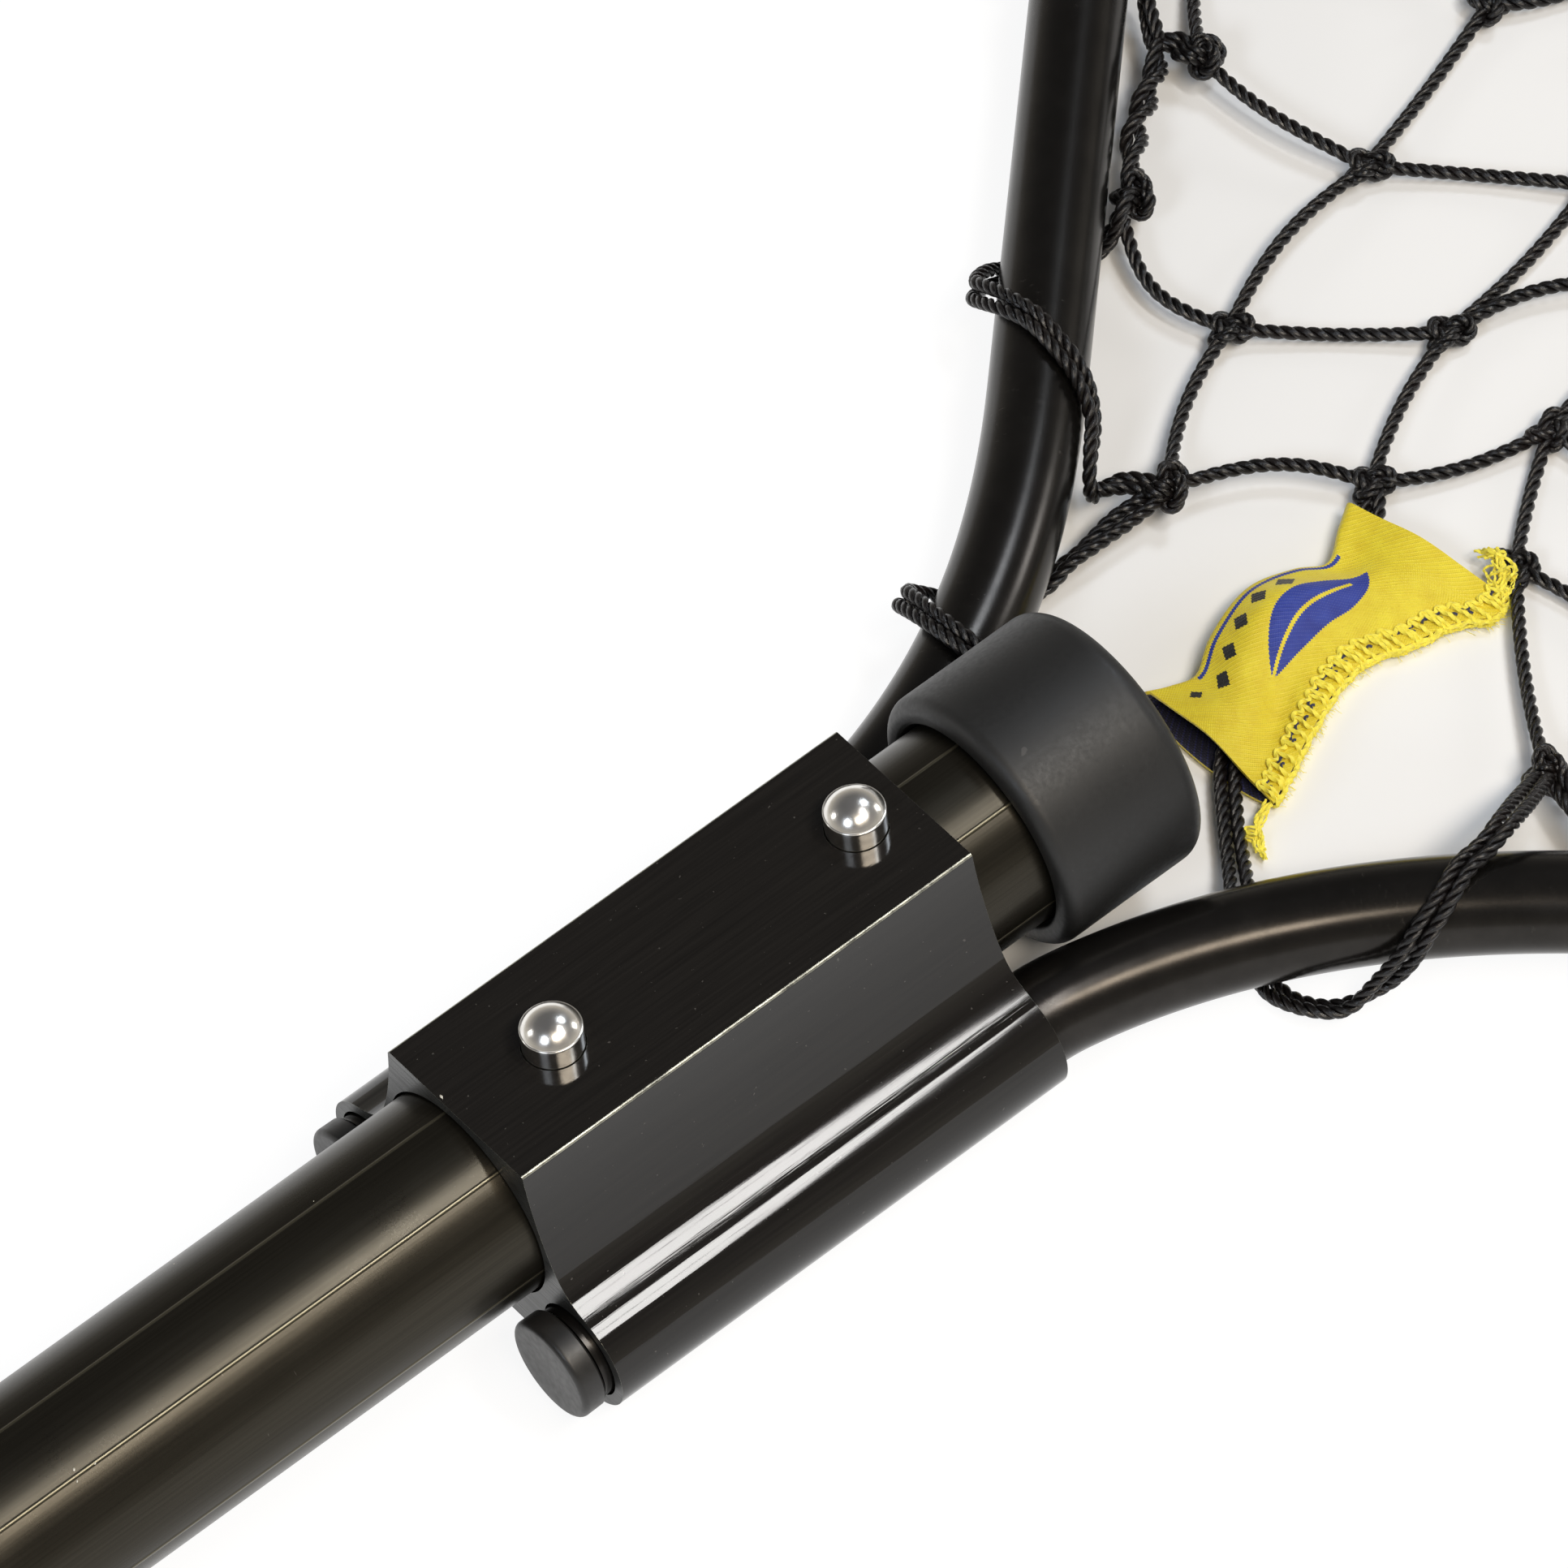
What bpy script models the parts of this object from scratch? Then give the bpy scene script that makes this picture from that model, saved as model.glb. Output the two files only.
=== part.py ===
"""Long-handled landing net with a sliding handle, lying on a flat surface.

The yoke holds both ends of a teardrop hoop and lets the handle tube slide
through its centre bore.  Two spring-loaded snap buttons in the handle stand up
through the yoke's flat top and lock the handle.

Frame: +X runs along the handle towards the hoop, +Y to the left, +Z up.
The surface the net lies on is z = 0 and the origin is the middle of the whole
object's footprint.  Units are metres.
"""
import bpy
import bmesh
import math
from mathutils import Vector, Matrix

MM = 0.001

# ------------------------------------------------------------- dimensions
YOKE_X = 92.5 * MM            # yoke centre, from the middle of the footprint
YOKE_LEN = 70.6 * MM
YOKE_TOP = 37.45 * MM         # flat top, above the surface
YOKE_TOP_HALF = 13.0 * MM     # half width of the flat top
YOKE_EDGE_R = 0.5 * MM
YOKE_WEB_Z = 3.2 * MM         # underside between the two barrels

HANDLE_Z = 21.35 * MM         # handle axis above the surface
HANDLE_R = 14.29 * MM         # 28.6 mm tube
HANDLE_WALL = 1.3 * MM
HANDLE_FRONT = 65.2 * MM      # front tip, from the yoke centre
HANDLE_REAR = -848.6 * MM
BORE_R = 14.65 * MM

BARREL_Y = 19.6 * MM
BARREL_Z = 8.75 * MM
BARREL_R = 8.2 * MM
BARREL_BORE_R = 6.7 * MM

HOOP_R = 6.35 * MM            # 12.7 mm tube
HOOP_WALL = 1.2 * MM
HOOP_END = -36.5 * MM         # tube end behind the yoke, from the yoke centre
HOOP_BIG_R = 255.0 * MM       # radius of the hoop's round front
HOOP_ARM_ANGLE = math.radians(45.0)
HOOP_KINK = math.radians(9.0)

BUTTON_R = 3.95 * MM
BUTTON_RING = 3.55 * MM       # shoulder of the button above the flat top
BUTTON_DOME = 2.0 * MM
BUTTON_X = (27.8 * MM, -19.9 * MM)
BUTTON_HOLE_R = 4.3 * MM
BUTTON_FOOT_Z = 33.5 * MM

CAP_R = 18.15 * MM
CAP_BACK = 45.2 * MM
CAP_FRONT = 67.5 * MM

PLUG_R = 7.0 * MM
PLUG_LEN = 3.4 * MM
PLUG_STEM_R = 4.8 * MM

GRIP_R = 17.6 * MM
GRIP_FRONT = -606.0 * MM
GRIP_REAR = -832.0 * MM
BUTT_R = 21.35 * MM           # the butt cap rests on the surface
BUTT_FRONT = -831.4 * MM
BUTT_REAR = -854.16 * MM

LACE_PITCH = 52.5 * MM
LACE_CORD_R = 0.85 * MM
LACE_CENTRE_R = 7.8 * MM
LACE_START = 51.0 * MM        # arc length from the left barrel mouth
LACE_END = 31.0 * MM          # and from the right one

MAT_TOP = 2.6 * MM
MAT_INSET = 9.6 * MM
MAT_START = 74.5 * MM

LABEL_CENTRE = (101.0 * MM, 2.5 * MM)
LABEL_SIZE = (40.0 * MM, 22.0 * MM, 2.4 * MM)
LABEL_TURN = math.radians(-8.0)

RIVET_X = -8.0 * MM
RIVET_R = 1.6 * MM

# ------------------------------------------------------------- scene set-up
for ob in list(bpy.data.objects):
    bpy.data.objects.remove(ob, do_unlink=True)


def collection(name):
    col = bpy.data.collections.new(name)
    bpy.context.scene.collection.children.link(col)
    return col


PARTS = collection("landing_net")
CUTTERS = collection("cutters")


def material(name, colour, rough, metal=0.0):
    m = bpy.data.materials.new(name)
    m.use_nodes = True
    b = m.node_tree.nodes["Principled BSDF"]
    b.inputs["Base Color"].default_value = (*colour, 1.0)
    b.inputs["Roughness"].default_value = rough
    b.inputs["Metallic"].default_value = metal
    return m


GLOSS_BLACK = material("gloss_black_anodised", (0.012, 0.011, 0.010), 0.12, 0.6)
SATIN_BLACK = material("satin_black_anodised", (0.020, 0.018, 0.015), 0.32, 0.7)
CHROME = material("chrome", (0.80, 0.79, 0.76), 0.06, 1.0)
SPRING_STEEL = material("spring_steel", (0.45, 0.45, 0.44), 0.25, 1.0)
RUBBER = material("black_rubber", (0.018, 0.018, 0.018), 0.62)
PLUG_BLACK = material("black_plug", (0.025, 0.024, 0.023), 0.5)
FOAM = material("foam_grip", (0.020, 0.020, 0.021), 0.85)
NYLON = material("black_nylon", (0.010, 0.009, 0.010), 0.35)
YELLOW = material("yellow_label", (0.85, 0.60, 0.02), 0.7)
RIVET_STEEL = material("rivet_steel", (0.35, 0.35, 0.35), 0.3, 1.0)


def link(ob, col=None):
    (col or PARTS).objects.link(ob)
    return ob


def from_bmesh(bm, name, mat, col=None, smooth=True):
    me = bpy.data.meshes.new(name)
    bm.to_mesh(me)
    bm.free()
    if mat is not None:
        me.materials.append(mat)
    if smooth:
        me.shade_smooth()
        me.set_sharp_from_angle(angle=math.radians(35))
    return link(bpy.data.objects.new(name, me), col)


def curve_to_mesh(ob, name, mat, col=None):
    """Evaluate a curve object, weld its caps and keep it as a mesh."""
    dg = bpy.context.evaluated_depsgraph_get()
    me = bpy.data.meshes.new_from_object(ob.evaluated_get(dg))
    bm = bmesh.new()
    bm.from_mesh(me)
    bmesh.ops.remove_doubles(bm, verts=bm.verts, dist=1e-7)
    bmesh.ops.recalc_face_normals(bm, faces=bm.faces)
    bm.to_mesh(me)
    bm.free()
    me.name = name
    me.materials.clear()
    if mat is not None:
        me.materials.append(mat)
    me.shade_smooth()
    me.set_sharp_from_angle(angle=math.radians(35))
    new = bpy.data.objects.new(name, me)
    new.matrix_world = ob.matrix_world
    data = ob.data
    bpy.data.objects.remove(ob, do_unlink=True)
    bpy.data.curves.remove(data)
    return link(new, col)


def poly_curve(name, loops, dims="2D", cyclic=True):
    cu = bpy.data.curves.new(name, "CURVE")
    cu.dimensions = dims
    for pts in loops:
        sp = cu.splines.new("POLY")
        sp.points.add(len(pts) - 1)
        for p, q in zip(sp.points, pts):
            p.co = (q[0], q[1], q[2] if len(q) > 2 else 0.0, 1.0)
        sp.use_cyclic_u = cyclic
    return cu


def circle(cx, cy, r, n, start=0.0):
    return [(cx + r * math.cos(start + 2 * math.pi * i / n),
             cy + r * math.sin(start + 2 * math.pi * i / n)) for i in range(n)]


def cutter(name, r, depth, location, rotation=(0, 0, 0), n=32):
    bm = bmesh.new()
    bmesh.ops.create_cone(bm, cap_ends=True, segments=n, radius1=r, radius2=r,
                          depth=depth)
    ob = from_bmesh(bm, name, None, CUTTERS, smooth=False)
    ob.location = location
    ob.rotation_euler = rotation
    ob.hide_render = True
    ob.display_type = "WIRE"
    return ob


def cut(ob, tool):
    m = ob.modifiers.new("cut_" + tool.name, "BOOLEAN")
    m.operation = "DIFFERENCE"
    m.solver = "EXACT"
    m.object = tool


def turned(name, profile, steps, mat, location, along_x=True):
    """Turn a profile of (radius, height) points, listed from top to bottom on
    the outer side, about the local Z axis; along_x lays that axis along +X."""
    me = bpy.data.meshes.new(name)
    bm = bmesh.new()
    closed = profile[0] == profile[-1]
    vs = [bm.verts.new((r, 0.0, h)) for r, h in (profile[:-1] if closed else profile)]
    for a, b in zip(vs, vs[1:] + (vs[:1] if closed else [])):
        bm.edges.new((a, b))
    bm.to_mesh(me)
    bm.free()
    me.materials.append(mat)
    ob = link(bpy.data.objects.new(name, me))
    m = ob.modifiers.new("turn", "SCREW")
    m.angle = 2 * math.pi
    m.steps = steps
    m.render_steps = steps
    m.use_merge_vertices = True
    m.merge_threshold = 0.00001
    m.use_smooth_shade = True
    ob.location = location
    if along_x:
        ob.rotation_euler = (0.0, math.pi / 2, 0.0)
    return ob


def round_corner(cr, ch, r, a0, a1, n=4):
    """Arc points of radius r about (cr, ch), from angle a0 to a1 in degrees."""
    return [(cr + r * math.cos(math.radians(a0 + (a1 - a0) * i / n)),
             ch + r * math.sin(math.radians(a0 + (a1 - a0) * i / n)))
            for i in range(n + 1)]


# ------------------------------------------------------------- hoop centre line
def hoop_half():
    """Centre line of the left half, as arc-length samples from the barrel
    mouth: a slight kink, a bend that eases into a straight 45 degree arm, and
    the big round front.  Positions are relative to the yoke centre."""
    step = 0.5 * MM
    x, y, s = YOKE_LEN / 2 - 0.4 * MM, BARREL_Y, 0.0
    kink_len, bend_len, power = 7.0 * MM, 76.0 * MM, 1.35
    pts = [(x, y)]

    def heading(s):
        a = HOOP_KINK * min(1.0, s / kink_len)
        t = min(1.0, max(0.0, (s - 2 * MM) / bend_len))
        return a + (HOOP_ARM_ANGLE - HOOP_KINK) * (1.0 - (1.0 - t) ** power)

    while s < bend_len + 3 * MM:
        h = heading(s + step / 2)
        x += step * math.cos(h)
        y += step * math.sin(h)
        s += step
        pts.append((x, y))
    # straight 45 degree arm, tangent to the front circle centred on the axis
    c = x - y
    cx = c + HOOP_BIG_R * math.sqrt(2.0)
    tx = cx - HOOP_BIG_R / math.sqrt(2.0)
    n = int(round((tx - x) / math.cos(HOOP_ARM_ANGLE) / step))
    for i in range(1, n + 1):
        f = i / n
        pts.append((x + (tx - x) * f, y + (tx - x) * f))
    a0 = 0.75 * math.pi
    n = int(round(HOOP_BIG_R * a0 / step))
    for i in range(1, n + 1):
        a = a0 * (1.0 - i / n)
        pts.append((cx + HOOP_BIG_R * math.cos(a), HOOP_BIG_R * math.sin(a)))
    return pts, cx


HALF, HOOP_CX = hoop_half()
FULL = HALF + [(x, -y) for x, y in reversed(HALF[:-1])]
ARC = [0.0]
for p, q in zip(FULL, FULL[1:]):
    ARC.append(ARC[-1] + math.hypot(q[0] - p[0], q[1] - p[1]))
HOOP_LEN = ARC[-1]


def hoop_at(s):
    """Position and unit tangent on the hoop's centre line at arc length s."""
    lo, hi = 0, len(ARC) - 1
    s = max(0.0, min(HOOP_LEN, s))
    while hi - lo > 1:
        mid = (lo + hi) // 2
        if ARC[mid] <= s:
            lo = mid
        else:
            hi = mid
    f = (s - ARC[lo]) / (ARC[hi] - ARC[lo])
    (x0, y0), (x1, y1) = FULL[lo], FULL[hi]
    d = math.hypot(x1 - x0, y1 - y0)
    return (x0 + (x1 - x0) * f, y0 + (y1 - y0) * f), ((x1 - x0) / d, (y1 - y0) / d)


# ------------------------------------------------------------- yoke
def yoke_outline():
    """Closed outline of the extrusion, looking along -X, as (y, z)."""
    half = [(YOKE_TOP_HALF - YOKE_EDGE_R * (1 - math.sin(math.radians(a))),
             YOKE_TOP - YOKE_EDGE_R * (1 - math.cos(math.radians(a))))
            for a in (0, 22.5, 45, 67.5, 90)]
    # flank: almost upright below the top edge, flaring out to the barrel
    top_z, low_z = YOKE_TOP - YOKE_EDGE_R, 16.95 * MM
    for i in range(1, 14):
        q = 1.0 - (1.0 - i / 13) ** 1.8
        z = top_z + (low_z - top_z) * q
        y = YOKE_TOP_HALF + (2.0 * q + 3.6 * q ** 2.2 + 2.6 * q ** 14) * MM
        half.append((y, z))
    # barrel
    a0 = math.acos((half[-1][0] + 0.9 * MM - BARREL_Y) / BARREL_R)
    a1 = -math.pi + math.asin((BARREL_Z - YOKE_WEB_Z) / BARREL_R)
    n = 22
    for i in range(n + 1):
        a = a0 + (a1 - a0) * i / n
        half.append((BARREL_Y + BARREL_R * math.cos(a),
                     BARREL_Z + BARREL_R * math.sin(a)))
    return half + [(-y, z) for y, z in reversed(half)]


outline = yoke_outline()
cu = poly_curve("yoke_section", [
    outline,
    circle(0.0, HANDLE_Z, BORE_R, 64),
    circle(BARREL_Y, BARREL_Z, BARREL_BORE_R, 32),
    circle(-BARREL_Y, BARREL_Z, BARREL_BORE_R, 32)])
cu.fill_mode = "BOTH"
cu.extrude = YOKE_LEN / 2
section = link(bpy.data.objects.new("yoke_section", cu))
# the section's (x, y) become the part's (y, z); its normal becomes +X
section.matrix_world = Matrix(((0, 0, 1, YOKE_X), (1, 0, 0, 0), (0, 1, 0, 0),
                               (0, 0, 0, 1)))
bpy.context.view_layer.update()
yoke = curve_to_mesh(section, "yoke", GLOSS_BLACK)
for i, bx in enumerate(BUTTON_X):
    cut(yoke, cutter(f"yoke_button_hole_{i}", BUTTON_HOLE_R, 8 * MM,
                     (YOKE_X + bx, 0, 37 * MM)))
for side in (1, -1):
    cut(yoke, cutter(f"yoke_rivet_hole_{side + 1}", RIVET_R + 0.3 * MM, 6 * MM,
                     (YOKE_X + RIVET_X, side * BARREL_Y, -0.4 * MM), n=16))

# ------------------------------------------------------------- hoop tube
def hoop_path():
    """Points for the tube: close together in the bend, wider apart on the
    straight arms and at an even angle round the front."""
    pts = [(HOOP_END, BARREL_Y), (YOKE_LEN / 2 - 1.2 * MM, BARREL_Y)]
    s, half_len = 1.5 * MM, HOOP_LEN / 2
    while s < half_len - 6 * MM:
        pts.append(hoop_at(s)[0])
        if s < 8 * MM:
            s += 3.2 * MM
        elif s < 84 * MM:
            s += 8.5 * MM
        elif s < 255 * MM:
            s += 28 * MM
        else:
            s += 18 * MM
    mid = hoop_at(half_len)[0]
    return pts + [mid] + [(x, -y) for x, y in reversed(pts)]


path = [(YOKE_X + x, y, BARREL_Z) for x, y in hoop_path()]
cu = poly_curve("hoop_path", [path], dims="3D", cyclic=False)
cu.bevel_depth = HOOP_R
cu.bevel_resolution = 5
cu.use_fill_caps = False
hoop = link(bpy.data.objects.new("hoop_path", cu))
bpy.context.view_layer.update()
hoop = curve_to_mesh(hoop, "hoop_tube", SATIN_BLACK)
m = hoop.modifiers.new("wall", "SOLIDIFY")
m.thickness = HOOP_WALL
m.offset = -1.0
for side in (1, -1):
    cut(hoop, cutter(f"hoop_rivet_hole_{side + 1}", RIVET_R + 0.3 * MM, 3.2 * MM,
                     (YOKE_X + RIVET_X, side * BARREL_Y, 2.7 * MM), n=16))

# end plugs: a flat button head behind the tube and a stem inside it
for side, name in ((1, "hoop_plug_left"), (-1, "hoop_plug_right")):
    r = 0.8 * MM
    h0 = HOOP_END - 0.3 * MM
    prof = ([(0.0, 12 * MM), (PLUG_STEM_R - 0.6 * MM, 12 * MM),
             (PLUG_STEM_R, 11.2 * MM), (PLUG_STEM_R, 0.0), (PLUG_R - 0.2 * MM, 0.0)]
            + [(PLUG_R, -0.2 * MM)]
            + round_corner(PLUG_R - r, -PLUG_LEN + r, r, 0, -90)
            + [(0.0, -PLUG_LEN)])
    turned(name, prof, 28, PLUG_BLACK,
           (YOKE_X + h0, side * BARREL_Y, BARREL_Z))

# rivets: set up through each barrel's underside into the tube
for side, name in ((1, "hoop_rivet_left"), (-1, "hoop_rivet_right")):
    prof = [(0.0, 6.6 * MM), (1.9 * MM, 6.6 * MM), (2.5 * MM, 6.1 * MM),
            (2.5 * MM, 4.9 * MM), (1.6 * MM, 4.6 * MM),
            (1.6 * MM, 1.0 * MM), (0.0, 1.0 * MM)]
    turned(name, prof, 14, RIVET_STEEL,
           (YOKE_X + RIVET_X, side * BARREL_Y, 0.0), along_x=False)

# ------------------------------------------------------------- handle
slide = bpy.data.objects.new("handle_slide_axis", None)
link(slide)
slide.location = (YOKE_X, 0.0, HANDLE_Z)
bpy.context.view_layer.update()


def on_handle(ob):
    world = ob.matrix_basis.copy()
    ob.parent = slide
    ob.matrix_parent_inverse = Matrix.Translation(slide.location).inverted()
    ob.matrix_basis = world
    return ob


handle_prof = [(HANDLE_R, HANDLE_FRONT), (HANDLE_R, HANDLE_REAR),
               (HANDLE_R - HANDLE_WALL, HANDLE_REAR),
               (HANDLE_R - HANDLE_WALL, HANDLE_FRONT), (HANDLE_R, HANDLE_FRONT)]
handle = on_handle(turned("handle_tube", handle_prof, 48, SATIN_BLACK,
                          (YOKE_X, 0, HANDLE_Z)))
for i, bx in enumerate(BUTTON_X):
    tool = cutter(f"handle_button_hole_{i}", BUTTON_HOLE_R, 6 * MM,
                  (YOKE_X + bx, 0, 35 * MM), n=24)
    cut(handle, tool)

# rubber cap over the front tip
r = 2.6 * MM
back_r = 2.0 * MM
cap_prof = ([(0.0, CAP_FRONT)]
            + round_corner(CAP_R - r, CAP_FRONT - r, r, 90, 0)
            + round_corner(CAP_R - back_r, CAP_BACK + back_r, back_r, 0, -90)
            + [(HANDLE_R + 0.32 * MM, CAP_BACK),
               (HANDLE_R + 0.32 * MM, HANDLE_FRONT + 0.3 * MM),
               (0.0, HANDLE_FRONT + 0.3 * MM)])
on_handle(turned("front_cap", cap_prof, 48, RUBBER, (YOKE_X, 0, HANDLE_Z)))

# foam grip sleeve
r = 1.6 * MM
grip_prof = ([(HANDLE_R + 0.32 * MM, GRIP_FRONT)]
             + round_corner(GRIP_R - 1.0 * MM - r, GRIP_FRONT - r, r, 90, 0)
             + [(GRIP_R, GRIP_FRONT - 30 * MM), (GRIP_R, GRIP_REAR + 60 * MM),
                (GRIP_R + 0.5 * MM, GRIP_REAR + 30 * MM),
                (GRIP_R + 1.7 * MM, GRIP_REAR + 8 * MM),
                (GRIP_R + 2.2 * MM, GRIP_REAR),
                (HANDLE_R + 0.32 * MM, GRIP_REAR), (HANDLE_R + 0.32 * MM, GRIP_FRONT)])
on_handle(turned("foam_grip", grip_prof, 40, FOAM, (YOKE_X, 0, HANDLE_Z)))

# butt cap: a rubber cup that closes the tube's rear end and rests on the surface
r = 4.0 * MM
butt_prof = ([(0.0, HANDLE_REAR - 0.3 * MM),
              (HANDLE_R + 0.32 * MM, HANDLE_REAR - 0.3 * MM),
              (HANDLE_R + 0.32 * MM, BUTT_FRONT - 1 * MM),
              (BUTT_R - 1.2 * MM, BUTT_FRONT - 1 * MM), (BUTT_R, BUTT_FRONT - 2.2 * MM)]
             + round_corner(BUTT_R - r, BUTT_REAR + r, r, 0, -90)
             + [(0.0, BUTT_REAR)])
on_handle(turned("butt_cap", butt_prof, 40, RUBBER, (YOKE_X, 0, HANDLE_Z)))

# snap buttons and the leaf springs under them
for bx, label in zip(BUTTON_X, ("front", "rear")):
    ring = YOKE_TOP + BUTTON_RING
    rd = BUTTON_R - 0.2 * MM
    sphere = (rd ** 2 + BUTTON_DOME ** 2) / (2 * BUTTON_DOME)
    a = math.degrees(math.asin(rd / sphere))
    dome = [(sphere * math.sin(math.radians(a * i / 6)),
             ring + BUTTON_DOME - sphere + sphere * math.cos(math.radians(a * i / 6)))
            for i in range(7)]
    prof = [(q, h - ring) for q, h in dome] + [
        (BUTTON_R, -0.25 * MM), (BUTTON_R, BUTTON_FOOT_Z - ring),
        (0.0, BUTTON_FOOT_Z - ring)]
    button = turned(f"{label}_button", prof, 28, CHROME,
                    (YOKE_X + bx, 0, ring), along_x=False)
    on_handle(button)

    # V-shaped leaf: lower leg on the tube floor, upper leg under the button
    top_z, low_z = BUTTON_FOOT_Z - 0.75 * MM, 9.2 * MM
    vx, vz, vr = bx - 25 * MM, 20.5 * MM, 2.6 * MM
    leaf = [(bx + 3.6 * MM, top_z), (bx - 4.2 * MM, top_z)]
    up = math.atan2(top_z - vz, bx - 4.2 * MM - vx)
    lo = math.atan2(vz - low_z, bx + 2.0 * MM - vx)
    for i in range(9):
        ang = math.pi / 2 + up + (math.pi - up - lo) * i / 8
        leaf.append((vx + vr * math.cos(ang), vz + vr * math.sin(ang)))
    leaf += [(bx + 2.0 * MM, low_z), (bx + 6.0 * MM, low_z)]
    cu = poly_curve(f"{label}_leaf", [leaf], dims="2D", cyclic=False)
    cu.extrude = 3.4 * MM
    strip = link(bpy.data.objects.new(f"{label}_leaf", cu))
    # section (x, y) lies in the part's (x, z) plane
    strip.matrix_world = Matrix(((1, 0, 0, YOKE_X), (0, 0, -1, 0), (0, 1, 0, 0),
                                 (0, 0, 0, 1)))
    bpy.context.view_layer.update()
    strip = curve_to_mesh(strip, f"{label}_button_spring", SPRING_STEEL)
    m = strip.modifiers.new("gauge", "SOLIDIFY")
    m.thickness = 0.6 * MM
    m.offset = 0.0

# ------------------------------------------------------------- net
# The bag is laid out in a low layer inside the hoop, with the throat end open
# round the label.
def mat_outline():
    pts = []
    s = 0.0
    while s <= HOOP_LEN:
        (x, y), (tx, ty) = hoop_at(s)
        # inward normal of the left half is (ty, -tx)
        px, py = x + ty * MAT_INSET, y - tx * MAT_INSET
        if px > MAT_START:
            pts.append((YOKE_X + px, py))
        s += HOOP_LEN / 120
    return pts


cu = poly_curve("net_layer", [mat_outline()])
cu.fill_mode = "BOTH"
cu.extrude = MAT_TOP / 2
layer = link(bpy.data.objects.new("net_layer", cu))
layer.location = (0, 0, MAT_TOP / 2)
bpy.context.view_layer.update()
net = curve_to_mesh(layer, "net_bag", NYLON)


def label_box(name, grow, z0, z1, mat, col):
    bm = bmesh.new()
    bmesh.ops.create_cube(bm, size=1.0)
    bmesh.ops.scale(bm, verts=bm.verts, vec=(LABEL_SIZE[0] + 2 * grow,
                                             LABEL_SIZE[1] + 2 * grow, z1 - z0))
    ob = from_bmesh(bm, name, mat, col, smooth=False)
    ob.location = (YOKE_X + LABEL_CENTRE[0], LABEL_CENTRE[1], (z0 + z1) / 2)
    ob.rotation_euler = (0, 0, LABEL_TURN)
    return ob


window = label_box("net_label_window", 0.4 * MM, -1 * MM, 5 * MM, None, CUTTERS)
window.hide_render = True
window.display_type = "WIRE"
cut(net, window)
label = label_box("net_label", 0.0, 0.35 * MM, 0.35 * MM + LABEL_SIZE[2], YELLOW, None)
m = label.modifiers.new("fold", "BEVEL")
m.width = 0.9 * MM
m.segments = 3

# lacing cord: a helix that ties the net's edge to the hoop, a turn every second mesh
turns = round((HOOP_LEN - LACE_START - LACE_END) / LACE_PITCH)
pitch = (HOOP_LEN - LACE_START - LACE_END) / turns
per_turn = 12
lace = []
for i in range(turns * per_turn + 1):
    s = LACE_START + pitch * i / per_turn
    (x, y), (tx, ty) = hoop_at(s)
    a = -math.pi / 2 - 2 * math.pi * i / per_turn
    out = LACE_CENTRE_R * math.cos(a)
    lace.append((YOKE_X + x - ty * out, y + tx * out,
                 BARREL_Z + LACE_CENTRE_R * math.sin(a)))
cu = poly_curve("lacing", [lace], dims="3D", cyclic=False)
cu.bevel_depth = LACE_CORD_R
cu.bevel_resolution = 0
cu.use_fill_caps = True
lacing = link(bpy.data.objects.new("net_lacing_cord", cu))
lacing.data.materials.append(NYLON)
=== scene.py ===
"""Visual model of a long-handled landing net lying on a pale table.

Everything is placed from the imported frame.  Lengths below are millimetres
measured from the yoke's centre unless said otherwise; W() turns them into the
frame's metres.
"""
import math
import bpy
import bmesh
import numpy as np
from mathutils import Matrix, Vector


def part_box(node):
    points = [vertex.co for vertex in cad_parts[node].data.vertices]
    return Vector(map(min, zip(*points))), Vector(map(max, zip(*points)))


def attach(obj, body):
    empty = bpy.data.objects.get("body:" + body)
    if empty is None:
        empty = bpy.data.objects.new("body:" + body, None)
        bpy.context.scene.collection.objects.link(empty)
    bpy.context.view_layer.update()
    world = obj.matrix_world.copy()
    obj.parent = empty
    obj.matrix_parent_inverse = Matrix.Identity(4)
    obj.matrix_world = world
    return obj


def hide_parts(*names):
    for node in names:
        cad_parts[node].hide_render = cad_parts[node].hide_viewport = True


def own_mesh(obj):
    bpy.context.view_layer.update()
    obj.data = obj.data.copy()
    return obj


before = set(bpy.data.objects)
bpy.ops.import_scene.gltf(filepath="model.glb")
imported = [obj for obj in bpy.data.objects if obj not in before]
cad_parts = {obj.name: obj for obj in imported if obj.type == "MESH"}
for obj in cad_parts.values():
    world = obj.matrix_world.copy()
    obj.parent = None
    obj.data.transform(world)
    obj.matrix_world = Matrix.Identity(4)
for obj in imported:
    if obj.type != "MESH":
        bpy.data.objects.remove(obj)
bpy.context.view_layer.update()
RNG = np.random.default_rng(7)

ylo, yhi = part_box("yoke")
YX = (ylo.x + yhi.x) / 2 * 1000.0
YOKE_HALF = (yhi.x - ylo.x) / 2 * 1000.0
hlo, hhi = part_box("handle_tube")
HANDLE_Z = (hlo.z + hhi.z) / 2 * 1000.0
HANDLE_R = (hhi.y - hlo.y) / 2 * 1000.0
HANDLE_FRONT = hhi.x * 1000.0 - YX
HANDLE_REAR = hlo.x * 1000.0 - YX
plo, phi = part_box("hoop_plug_left")
BARREL_Y = (plo.y + phi.y) / 2 * 1000.0
BARREL_Z = (plo.z + phi.z) / 2 * 1000.0
HOOP_R = 6.35
HOOP_END = -36.5


def W(a):
    return (np.asarray(a, float) + (YX, 0.0, 0.0)) * 0.001


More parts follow.
